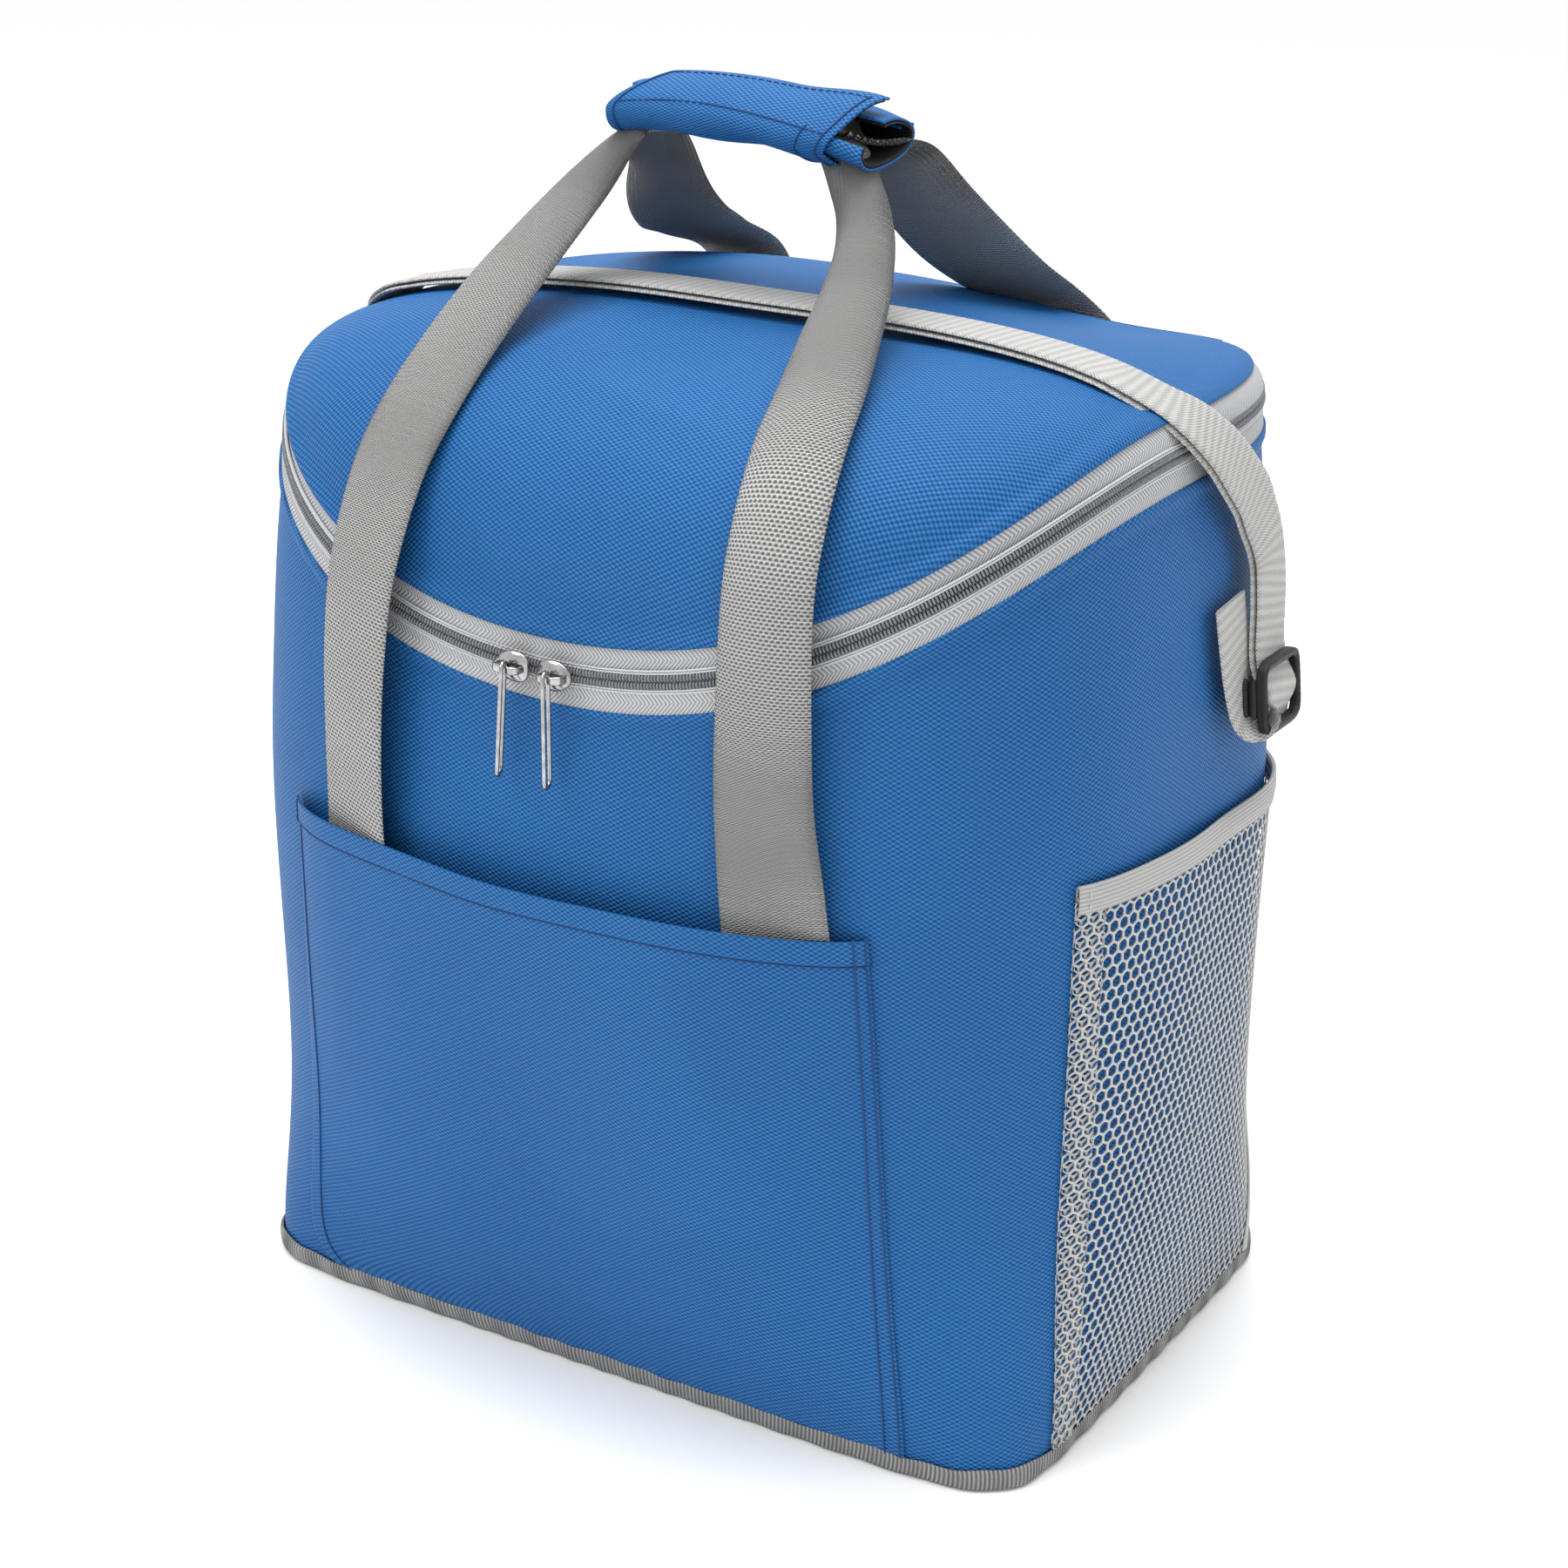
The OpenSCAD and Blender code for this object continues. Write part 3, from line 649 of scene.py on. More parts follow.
def build_body_inside():
    outer = tub_rings(0.0016, 0.0067, 36)
    inner = tub_rings(0.0076, 0.0126, 36)
    add_padding("body_padding", outer + inner[::-1], "body_foam", "bag")
    liner = add_cloth("body_foil_liner", np.array(tub_rings(0.0082, 0.016, 70)), FOIL, "liner", "bag",
                      0.0007, "body_liner", u=AROUND_RUN, wrap=True)


def rim_facing(name, side, body):
    """Folded tape over the cut edge of the foam, between the cloth and the liner."""
    profile = [(0.0105, -0.0012), (0.0085, -0.0014), (0.0078, -0.003), (0.0078, -0.0062), (0.0085, -0.0092),
               (0.0125, -0.0098)]
    points = np.array([zip_point(RING, side * d, out) for d, out in profile])
    add_cloth(name, points, BINDING, "binding", body, 0.0006, offset=0.0, u=AROUND_RUN, wrap=True)


def build_base():
    rings = floor_rings(-0.0002, 0.0, np.linspace(0.02, 1, 20)) + floor_rings(-0.0002, 0.003, (1, 0.98))
    panel = add_cloth("base_cloth", np.array(rings), BLUE, "fabric", "bag", 0.0008, "base_panel",
                      u=AROUND_RUN, wrap=True)


def build_bottom_binding():
    """A ribbed tape folded over the seam round the base, with a slightly wavy upper edge."""
    th, run = even_angles(3001, -math.pi, math.pi, 0.02)
    th = th[:-1]
    wave = 0.00035 * np.sin(run[:-1] / 0.0085) + 0.0003 * np.sin(run[:-1] / 0.0031 + 1)
    rib = 0.0001 * np.sin(2 * math.pi * run[:-1] / 0.00145)
    profile = [(-0.004, 0.0002, 0), (0.0, 0.0, 0), (0.0009, 0.0004, 0.3), (0.0014, 0.0016, 1),
               (0.0015, 0.0035, 1), (0.0015, 0.0055, 1), (0.0013, 0.0071, 1), (0.001, 0.0079, 0.6),
               (0.0005, 0.0078, 0), (0.0003, 0.0065, 0)]
    rows = [wall_point(th, np.maximum(z + wave * smooth(z / 0.008), 0.0), out + rib * share)
            for out, z, share in profile]
    add_cloth("bottom_tape", np.array(rows), BINDING, "binding", "bag", 0.0006, "bottom_binding",
              u=run, wrap=True)


def outward(th):
    return np.stack([np.cos(th), np.sin(th), 0 * th], axis=-1)


# ---- Lid ----


def lid_development(points):
    """Distances along the lid's cloth from its crown. The steep sides are laid out flat."""
    x, y = points[..., 0], points[..., 1] - CROWN_Y
    steps = np.linalg.norm(np.diff(points[::-1], axis=0), axis=-1)
    down = np.concatenate([0 * steps[:1], np.cumsum(steps, axis=0)])[::-1]
    flat = np.hypot(x, y)
    drop = down + flat[-1] - flat
    cosine, sine = x / flat, y / flat
    return x + drop * cosine * cosine**2, y + drop * sine * np.abs(sine) ** 0.5


def lid_grid(inset, rows, edge=ZIP_GAP, lifted=False):
    share = np.linspace(0, 0.998, rows)[:, None]
    low = lid_angle(RING, edge)[None]
    a = lerp(low, math.pi / 2, share)
    rise = (CROWN_Z - rim_z(RING))[None] * np.sin(a) ** (2 / LID_POWER)
    out = wall_edge_lift(rise) if lifted else 0.0
    return lid_point(RING[None], a, out - inset)


def build_lid_cloth():
    """The dome, with its edge turned in over the zip tape."""
    dome = lid_grid(0.0, 90, lifted=True)
    turned = [zip_point(RING, ZIP_GAP - drop, 0.0017 - inset)
              for drop, inset in ((0.0, 0.0012), (0.0005, 0.0009), (0.0005, 0.0003))]
    points = np.concatenate([np.array(turned), dome])
    u, v = lid_development(points)
    cloth = add_cloth("lid_cloth", points, BLUE, "fabric", "lid", CLOTH_T, "lid_panel", u=u, v=v, wrap=True)
    cap_ends(cloth, points.shape[1], points.shape[0], first=False)


def build_lid_inside():
    outer = lid_grid(0.0016, 40, FOAM_EDGE)
    inner = lid_grid(0.0076, 40, FOAM_EDGE)
    add_padding("lid_padding", np.concatenate([outer[::-1], inner]), "lid_foam", "lid")
    liner = add_cloth("lid_foil_liner", lid_grid(0.0082, 60, FOAM_EDGE), FOIL, "liner", "lid", 0.0007,
                      "lid_liner", u=AROUND_RUN, wrap=True)
    cap_ends(liner, len(RING), 60, first=False)


def build_hinge_gusset():
    """Cloth hinge at the back, between the bag and the lid."""
    th, run = even_angles(90, math.radians(37), math.radians(143), 1.0)
    offsets = [(-0.0125, 0.0016), (-0.0085, 0.002), (-0.004, 0.002), (-0.0005, 0.0022), (0.004, 0.002),
               (0.0085, 0.0022), (0.0125, 0.0018)]
    points = np.array([zip_point(th, d, out) for d, out in offsets])
    gusset = add_grid("hinge_cloth", points, BLUE, "fabric", u=run)
    thicken(gusset, 0.001)
    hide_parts("lid_hinge_gusset")
    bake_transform(gusset)
    for name, d, body in (("hinge_seam_lower", -0.0105, "bag"), ("hinge_seam_upper", 0.0105, "lid")):
        add_stitches(name, zip_point(th, d, 0.0021), outward(th), BLUE_THREAD, body)


# ---- Zip ----


def zip_line(th):
    """Points just below the zip line, where the wall's formula still holds."""
    return zip_point(th, -1e-6, 0.0)


def zip_stations(step):
    """Directions spaced evenly along the zip, and their distances along it."""
    th = np.linspace(*ZIP_ENDS, 4000)
    run = run_length(zip_line(th))
    along = np.arange(step / 2, run[-1], step)
    return np.interp(along, run, th), along


def zip_frame(th, side):
    """Origin on the zip line, and the unit directions along it, away from it and outwards."""
    step = 2e-4
    origin = zip_line(th)
    ahead = zip_line(th + step) - zip_line(th - step)
    away = zip_point(th, side * 0.006, 0.0) - zip_point(th, side * 0.0005, 0.0)
    along = unit(ahead)
    out = unit(np.cross(along, away) * side)
    away = np.cross(out, along) * side
    return origin, along, unit(away), out


def build_zip_half(half, side, body):
    """Tape, coil and two rows of stitches of the zip's lower or upper half."""
    name = f"zip_{half}"
    th, run = zip_stations(0.0012)
    distances = np.array([0.0021, 0.003, 0.005, 0.007, 0.009, 0.011, 0.0136])
    points = np.array([zip_point(th, side * d, 0.0004) for d in distances])
    add_cloth(f"{name}_tape", points, TAPE, "zip_tape", body, 0.0005, f"zip_tape_{half}", u=run, v=distances)

    tooth = tube_template(
        [(0, 0.0024, 0.0002), (0, 0.0023, 0.001), (0, 0.0018, 0.0016), (0, 0.001, 0.0016),
         (0, 0.0004, 0.001), (0, 0.0002, 0.0001)],
        [0.00045, 0.0005, 0.00052, 0.00052, 0.0005, 0.00045])
    th, _ = zip_stations(0.00125)
    shift = 0.000625 if side < 0 else 0.0
    origin, along, away, out = zip_frame(th, side)
    coil = add_copies(f"{name}_coil", tooth, origin + along * shift, along, away, out, COIL)
    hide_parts(f"zip_coil_{half}")
    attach(coil, body)

    th, _ = zip_stations(0.0009)
    origin, along, away, out = zip_frame(th, side)
    for row, d in (("inner", 0.0029), ("outer", 0.0038)):
        path = origin + away * d + out * 0.0008
        add_stitches(f"{name}_{row}_stitches", path, out, WHITE_THREAD, body,
                     pitch=0.0019, length=0.0017, radius=0.00042)


# ---- Sliders ----

LEFT_SLIDER = math.radians(4)
RIGHT_SLIDER = math.radians(-0.5)
ARCH_OUT = 0.0105         # middle of the slider's arch, outwards from the zip line
LOOP_R = 0.0027
LOOP_DROP = 0.0353
WIRE_R = 0.0008


def on_zip(angle):
    """Place and turn of a slider: its own x runs along the zip, -y outwards and z up."""
    lean = Matrix.Rotation(-ZIP_LEAN, 4, "X")
    return (Matrix.Translation(ARC_CENTRE) @ lean @ Matrix.Rotation(angle, 4, "Y")
            @ Matrix.Translation((0, 0, -ARC_R)) @ lean.inverted())


def slider_plate(y_low, y_high, length, height, nose, dome):
    """A rounded plate, narrower at its tail, with a domed face."""
    turn = np.linspace(0, 2 * math.pi, 40, endpoint=False)
    x, z = rounded_outline(turn, length / 2, height, 0.7)
    z = z * (1 - 0.3 * smooth((nose * -x) / (length / 2)))
    rings = []
    for y, scale in ((y_high, 0.9), (y_high - 0.0002, 1.0), (y_low + 0.0004, 1.0), (y_low + 0.0001, 0.95),
                     (y_low - dome * 0.4, 0.75), (y_low - dome * 0.8, 0.45), (y_low - dome, 0.12)):
        rings.append(np.stack([x * scale, np.full(40, y), z * scale], axis=1))
    return np.array(rings)


def build_puller(name, angle, turn):
    """A long wire loop hung on the slider's arch and turned a little about its own length."""
    bend = np.linspace(0, math.pi, 13)
    upper = np.stack([LOOP_R * np.cos(bend), LOOP_R * np.sin(bend)], axis=1)
    loop = np.vstack([upper, -upper - [0, LOOP_DROP], upper[:1] - [0, LOOP_DROP / 2]])
    loop = np.vstack([loop[-1:], loop])
    across, up = loop.T
    path = np.stack([across * math.sin(turn), -ARCH_OUT - across * math.cos(turn), up], axis=1)
    wire = add_one(f"{name}_wire", tube_template(path, np.full(len(path), WIRE_R), 10), NICKEL)
    wire.data.transform(on_zip(angle))
    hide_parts(name)
    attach(wire, name)


def build_slider(name, angle, nose):
    """Two plates and a post, with an arch along the zip that the puller hangs on."""
    place = on_zip(angle)
    plates = (slider_plate(-0.0058, -0.0044, 0.0132, 0.0054, nose, 0.0012),
              slider_plate(0.0023, 0.0034, 0.0132, 0.005, nose, 0.0002))
    parts = []
    for number, rings in enumerate(plates):
        obj = add_grid(f"{name}_plate_{number}", rings, NICKEL, "nickel", wrap=True)
        cap_ends(obj, 40, len(rings))
        parts.append(obj)
    arch = [(-0.005, -0.0058), (-0.0051, -0.008), (-0.0044, -0.0098), (-0.0026, -0.0106),
            (0.0014, -0.0107), (0.0036, -0.01), (0.0047, -0.0084), (0.0049, -0.0058)]
    path = spline([(nose * x, y, 0.0) for x, y in arch], 5)
    side = np.tile([0.0, 0.0, 1.0], (len(path), 1))
    widths = 0.0032 - 0.0008 * np.linspace(0, 1, len(path))
    parts.append(webbing(f"{name}_bridge", path, side, NICKEL, "nickel", width=0.0032, widths=widths,
                         thickness=0.001, step=0.0003, across=8))
    post = tube_template([(0, -0.0046, 0), (0, 0.0026, 0)], [0.0007, 0.0007], 8)
    parts.append(add_one(f"{name}_post", post, NICKEL))
    for obj in parts:
        obj.data.transform(place)
        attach(obj, name)
    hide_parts(name)


# ---- Pockets ----


def pocket_points(cols, rows):
    """Cloth that stands off the wall at its mouth, with soft hollows and a raised hem."""
    u = np.linspace(0, 1, cols)[None]
    v = np.linspace(0, 1, rows)[:, None]
    left = np.radians(-139.6 + 5.3 * v + 3.2 * np.exp(-v / 0.035))
    right = np.radians(-42.8 - 6.1 * v)
    top = POCKET_Z - 0.0016 * np.sin(math.pi * u) + 0.0008 * np.sin(9 * u)
    stand = POCKET_ROOM * (1 - np.abs(2 * u - 1) ** 6) * smooth(v * 0.9 + 0.1) * v
    slack = 0.0011 * np.sin(9 * u + 2.2 * v) * np.sin(math.pi * v) + 0.0008 * np.sin(16 * u - 5 * v) * v
    hem = 0.0009 * smooth((v - 0.955) / 0.006)
    off = POCKET_LIFT + stand + slack * np.sin(math.pi * u) + hem
    return wall_point(lerp(left, right, u), lerp(0.0075, top, v), off)


def build_front_pocket():
    """Pocket open at the top, with a row of stitches along its hem and sides."""
    width, height = 0.262, 0.199
    points = pocket_points(260, 240)
    cloth = add_cloth("front_pocket_cloth", points, BLUE, "fabric", "bag", 0.001, "front_pocket",
                      u=0.4 + np.linspace(0, width, 260), v=np.linspace(0, height, 240))
    normal = surface_rows(points)
    lines = {"hem": (228, slice(None)), "left": (slice(None), 5), "right": (slice(None), -6),
             "right_outer": (slice(None), -2)}
    for name, place in lines.items():
        out = normal[place]
        add_stitches(f"pocket_{name}_stitches", points[place] + out * 0.0001, out, BLUE_THREAD,
                     "bag")


NET_W = 0.166             # along the wall, from the front edge to the rear edge
NET_Z = 0.008             # lower edge of the net
HEM_W = 0.011
NET_PITCH = 0.0048        # from one hole of the net to the next
STRAND = 0.0008           # width of the net between two holes


def hex_net(width, height, shift):
    """A flat net of rounded hexagonal holes: points in metres and quads round each hole."""
    row_step = NET_PITCH * math.sqrt(3) / 2
    turn = np.radians(np.arange(12) * 30)
    reach = np.where(np.arange(12) % 2 == 0, 1.0, 1 / math.cos(math.radians(30))) * NET_PITCH / 2
    edge = reach[:, None] * np.stack([np.cos(turn), np.sin(turn)], axis=1)
    softened = np.where(np.arange(12) % 2 == 0, 1.0, 0.95)[:, None]
    hole = edge * softened * (1 - STRAND / NET_PITCH)
    verts, faces = [], []
    for row in range(int(height / row_step) + 1):
        for col in range(int(width / NET_PITCH) + 1):
            centre = np.array([(col + (row % 2) / 2) * NET_PITCH + shift, row * row_step + shift])
            start = len(verts)
            verts.extend(centre + hole)
            verts.extend(centre + edge)
            for k in range(12):
                n = (k + 1) % 12
                faces.append((start + k, start + 12 + k, start + 12 + n, start + n))
    return np.array(verts), faces


def net_point(first, last, along, z, out):
    """Point of a mesh pocket at a distance along its width from the front edge."""
    u = np.clip(along / NET_W, 0, 1)
    v = z / MESH_Z
    stand = MESH_ROOM * (1 - np.abs(2 * u - 1) ** 6) * v
    slack = 0.0008 * np.sin(14 * u + 3 * v) * np.sin(math.pi * u) * v
    return wall_point(lerp(first, last, u), z, POCKET_LIFT + stand + slack + out)


def add_net(name, first, last, width, out, shift):
    flat, faces = hex_net(width, MESH_Z - NET_Z - 0.004, shift)
    z = np.clip(NET_Z + flat[:, 1], NET_Z, MESH_Z - 0.004)
    net = add_mesh(name, net_point(first, last, np.clip(flat[:, 0], 0, width), z, out), faces, NET)
    weld(net)
    thicken(net, 0.0006)
    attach(net, "bag")
    return net


def build_mesh_pocket(side, first, last):
    """Net pocket on one side of the bag: net, doubled hem, rear edge and the tape of its mouth."""
    name = f"mesh_pocket_{side}"
    net = add_net(f"{name}_net", first, last, NET_W, 0.0, 0.0)
    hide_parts(name)
    hem = add_net(f"{name}_hem", first, last, HEM_W, 0.0009, 0.0021)

    along = np.linspace(-0.0006, NET_W, 500)
    profile = ((-0.0105, 0.0003), (-0.0103, 0.0012), (-0.006, 0.0016), (-0.001, 0.0014), (0.0001, 0.0006),
               (-0.001, -0.0004), (-0.007, -0.0004))
    rows = np.array([net_point(first, last, along, MESH_Z + drop, out) for drop, out in profile])
    add_cloth(f"{name}_mouth", rows, ELASTIC, "elastic", "bag", 0.0004, f"mesh_binding_{side}", u=along)
    tack_z = np.linspace(MESH_Z - 0.0095, MESH_Z - 0.0012, 10)
    tack = net_point(first, last, 0.0042, tack_z, 0.0016)
    add_stitches(f"{name}_tack_stitches", tack, outward(np.full(10, first)), GREY_THREAD, "bag")

    z = np.linspace(NET_Z, MESH_Z - 0.01, 200)
    strip = np.array([net_point(first, last, NET_W - inner, z, out)
                      for inner, out in ((-0.0004, 0.0), (0.0, 0.0007), (0.003, 0.0009), (0.004, 0.0004))])
    add_cloth(f"{name}_rear_edge", strip, NET, "mesh", "bag", 0.0005)


def weld(obj):
    """Joins the net's cells into one sheet."""
    with edited(obj.data) as bm:
        bmesh.ops.remove_doubles(bm, verts=bm.verts, dist=0.00012)
    obj.data.polygons.foreach_set("use_smooth", np.ones(len(obj.data.polygons), bool))


# ---- Carry handles ----

# Each knot: x, y, z (y is None on the front wall), how far the webbing has turned flat for
# the grip, its width, how far its edges curl round in radians, and its lean in degrees: the
# front webbing turns outwards, and the rear webbing tips up.
FRONT_KNOTS = [
    (-0.088, None, 0.16, 0, 0.038, 0.0, 13), (-0.088, None, 0.19, 0, 0.038, 0.0, 17),
    (-0.0872, -0.145, 0.211, 0, 0.038, 0.0, 21), (-0.0853, -0.148, 0.241, 0, 0.038, 0.05, 21),
    (-0.0832, -0.149, 0.274, 0, 0.038, 0.1, 19), (-0.08, -0.147, 0.306, 0, 0.037, 0.15, 16),
    (-0.0763, -0.1371, 0.338, 0, 0.036, 0.25, 11), (-0.073, -0.1236, 0.3606, 0, 0.036, 0.45, 6),
    (-0.0705, -0.1016, 0.3815, 0, 0.034, 0.6, 0), (-0.067, -0.0765, 0.4023, 0, 0.033, 0.75, 0),
    (-0.063, -0.0442, 0.4244, 0.15, 0.029, 0.95, 0), (-0.057, -0.024, 0.44, 0.6, 0.026, 0.9, 0),
    (-0.047, -0.014, 0.4465, 0.95, 0.025, 0.5, 0), (-0.03, -0.012, 0.448, 1, 0.025, 0.35, 0),
    (-0.012, -0.012, 0.4485, 1, 0.025, 0.35, 0), (0.012, -0.012, 0.4475, 1, 0.025, 0.4, 0),
    (0.033, -0.014, 0.4445, 0.9, 0.025, 0.9, 0), (0.045, -0.025, 0.4335, 0.5, 0.026, 1.4, 0),
    (0.053, -0.039, 0.4195, 0.1, 0.029, 1.4, 0), (0.06, -0.058, 0.406, 0, 0.032, 1.15, 0),
    (0.067, -0.08, 0.3945, 0, 0.034, 0.95, 0), (0.0735, -0.102, 0.3815, 0, 0.035, 0.75, 0),
    (0.078, -0.123, 0.3665, 0, 0.036, 0.65, 0), (0.0805, -0.1389, 0.3444, 0, 0.036, 0.6, 0),
    (0.0815, -0.1475, 0.3183, 0, 0.036, 0.55, 0), (0.0825, -0.1495, 0.2744, 0, 0.037, 0.45, 2),
    (0.084, -0.149, 0.248, 0, 0.037, 0.3, 5), (0.0868, -0.1465, 0.22, 0, 0.038, 0.1, 9),
    (0.088, None, 0.19, 0, 0.038, 0.0, 13), (0.088, None, 0.16, 0, 0.038, 0.0, 13),
]
REAR_KNOTS = [
    (-0.084, 0.1245, 0.12, 0, 0.038, 0.0, 0), (-0.084, 0.1245, 0.2, 0, 0.038, 0.0, 0),
    (-0.084, 0.1245, 0.29, 0, 0.038, 0.0, 0), (-0.0855, 0.1275, 0.33, 0, 0.038, 0.05, 0),
    (-0.0875, 0.129, 0.354, 0, 0.038, 0.1, 2), (-0.0885, 0.113, 0.377, 0, 0.038, 0.15, 8),
    (-0.086, 0.08, 0.389, 0, 0.038, 0.2, 14), (-0.0785, 0.054, 0.397, 0, 0.037, 0.3, 18),
    (-0.069, 0.03, 0.408, 0, 0.035, 0.6, 16), (-0.06, 0.011, 0.422, 0.2, 0.031, 1.0, 8),
    (-0.054, -0.004, 0.44, 0.7, 0.028, 0.8, 5), (-0.045, -0.011, 0.4505, 0.95, 0.025, 0.5, 0),
    (-0.03, -0.012, 0.452, 1, 0.024, 0.35, 0), (-0.01, -0.012, 0.4525, 1, 0.024, 0.35, 0),
    (0.012, -0.012, 0.451, 1, 0.024, 0.4, 0), (0.027, -0.009, 0.4485, 0.95, 0.026, 0.8, 0),
    (0.0335, 0.003, 0.442, 0.45, 0.03, 1.0, 6), (0.0355, 0.018, 0.431, 0.05, 0.034, 0.8, 18),
    (0.037, 0.038, 0.415, 0, 0.037, 0.45, 24), (0.0395, 0.062, 0.399, 0, 0.038, 0.25, 24),
    (0.042, 0.09, 0.383, 0, 0.038, 0.2, 18), (0.047, 0.117, 0.369, 0, 0.038, 0.15, 10),
    (0.059, 0.129, 0.35, 0, 0.038, 0.1, 4), (0.075, 0.1275, 0.325, 0, 0.038, 0.05, 0),
    (0.084, 0.1245, 0.29, 0, 0.038, 0.0, 0), (0.084, 0.1245, 0.2, 0, 0.038, 0.0, 0),
    (0.084, 0.1245, 0.12, 0, 0.038, 0.0, 0),
]


def build_handle(place, knots, turn):
    """One loop of webbing, sewn to the bag below its pivot."""
    filled = [(x, front_wall_y(x, z, 0.0024) if y is None else y, z, *rest) for x, y, z, *rest in knots]
    data = spline(filled, 10)
    flat = np.clip(data[:, 3:4], 0, 1)
    sign = np.where(np.arange(len(data)) < len(data) / 2, 1.0, -1.0)[:, None]
    lean = np.radians(data[:, 6:7])
    outwards, tip = (lean, 0 * lean) if knots is FRONT_KNOTS else (0 * lean, lean)
    side = unit(np.hstack([
        sign * np.cos(outwards) * np.cos(tip) * (1 - flat),
        turn * math.cos(GRIP_TILT) * flat - np.sin(outwards) * (1 - flat),
        turn * math.sin(GRIP_TILT) * flat + sign * np.sin(tip) * (1 - flat),
    ]))
    loop = webbing(f"carry_webbing_{place}", data[:, :3], side, WEBBING, "webbing", widths=data[:, 4],
                   curl=np.clip(data[:, 5], 0, None))
    body = f"{place}_handle"
    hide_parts(body, f"{body}_ends")
    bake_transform(loop)


def build_rear_boxes():
    """A crossed box of stitches on each rear handle end."""
    for name, x in (("left", -LEG_X), ("right", LEG_X)):
        half, low, high = 0.0155, 0.126, 0.172
        corners = [(-half, low), (half, low), (half, high), (-half, high), (-half, low), (half, high)]
        path = [np.array([x + a, REAR_PIVOT[0] + 0.0014, z]) for a, z in corners]
        points = np.vstack([np.linspace(path[k], path[k + 1], 12, endpoint=k == 4) for k in range(5)])
        normal = np.tile([0.0, 1.0, 0.0], (len(points), 1))
        add_stitches(f"rear_end_{name}_stitches", points, normal, GREY_THREAD, "bag")


# ---- Grip ----

GRIP_A = 0.0175           # half depth of the roll
GRIP_B = 0.0062           # half height of the roll
FLAP_HINGE = (0.0137, 0.4484)


def grip_point(x, phi, out):
    """Point of the roll round the handles. phi is 0 at the rear, 90 on top and 180 in front."""
    end = (x - GRIP_X) / GRIP_HALF_L
    arch = 0.005 - 0.0044 * (end + 0.35) ** 2
    close = 1 - 0.14 * smooth((-(x - GRIP_X) - 0.031) / 0.022)
    a = (GRIP_A * close + out) * np.cos(phi)
    b = (GRIP_B * (1 + 0.1 * (1 - end**2)) * close + out) * np.sin(phi)
    y = GRIP_Y + a * math.cos(GRIP_TILT) - b * math.sin(GRIP_TILT)
    z = GRIP_Z + a * math.sin(GRIP_TILT) + b * math.cos(GRIP_TILT) + arch
    return join(x, y, z)


def flap_ends(s):
    """Where the flap's cut ends lie, along its way s from the rear seam to the free edge."""
    left = -0.057 + 0.015 * smooth((s - 0.66) / 0.34)
    right = np.interp(s, [0.0, 0.3, 0.55, 0.7, 1.0], [0.044, 0.039, 0.0335, 0.037, 0.046])
    return left, right


def flap_point(share, s, off=0.0):
    """Point of the flap, which starts on its hinge line behind the roll."""
    left, right = flap_ends(s)
    x = lerp(left, right, share)
    phi = np.radians(lerp(-16.0, -284.0, s))
    lip = 0.0045 * smooth((x - 0.01) / 0.036) * smooth((s - 0.72) / 0.28)
    wrinkle = 0.0007 * np.sin(150 * x + 9 * s) * np.exp(-(((s - 0.42) / 0.16) ** 2))
    sag = 0.001 * np.sin(60 * x + 1.0) * np.exp(-(((s - 0.6) / 0.12) ** 2))
    rolled = grip_point(x, phi, 0.0037 + lip + wrinkle + sag + off)
    start = join(x, *FLAP_HINGE)
    return lerp(start, rolled, smooth(s / 0.07)[..., None])


def build_flap():
    """The flap that closes round both handles, with its dark lining."""
    share = np.linspace(0, 1, 150)[None]
    s = np.linspace(0, 1, 150)[:, None]
    left, right = flap_ends(s)
    grid = {"u": lerp(left, right, share), "v": s[:, 0] * 0.078}
    flap = add_cloth("grip_flap_cloth", flap_point(share, s), BLUE, "fabric", "grip_flap", 0.0009,
                     "grip_flap", **grid)
    inside = flap_point(share * 0.99 + 0.005, s * 0.985, -0.001)
    lining = add_cloth("grip_flap_lining", inside, LINING, "fabric", "grip_flap", 0.0005, **grid)


def build_wrap():
    """The inner wrap with its lining, and the seam allowance that the flap is sewn to."""
    x = np.linspace(GRIP_X - GRIP_HALF_L + 0.001, GRIP_X + GRIP_HALF_L + 0.001, 120)[None]
    phi = np.radians(np.linspace(-205, 95, 100))[:, None]
    ripple = 0.0005 * np.sin(220 * x) * np.sin(3 * phi)
    layers = (("grip_wrap_cloth", 0.0017, BLUE, "grip_wrap"), ("grip_wrap_lining", 0.0004, LINING, None))
    for name, out, material, node in layers:
        wrap = add_cloth(name, grip_point(x, phi, out + ripple), material, "fabric", "front_handle", 0.0009,
                         node, flip=True)

    x = np.linspace(GRIP_X - GRIP_HALF_L + 0.002, GRIP_X + GRIP_HALF_L - 0.003, 60)[None]
    reach = np.linspace(0, 1, 6)[:, None]
    hinge = join(x, *FLAP_HINGE)
    allowance = lerp(grip_point(x, 0.0, 0.0) - [0, 0.001, 0], hinge, reach[..., None])
    add_cloth("grip_seam", allowance, BLUE, "fabric", "front_handle", 0.001, offset=0.0)


def build_closing_strips():
    """Hook strip on the wrap and loop strip on the flap."""
    x = np.linspace(GRIP_X - 0.042, GRIP_X + 0.034, 60)[None]
    phi = np.radians(np.linspace(-202, -124, 30))[:, None]
    for kind, out, body in (("hook", 0.0021, "front_handle"), ("loop", 0.0019, "grip_flap")):
        add_cloth(f"{kind}_strip", grip_point(x, phi, out), HOOKS, "hook_and_loop", body, 0.0003,
                  f"grip_{kind}_strip", flip=True)


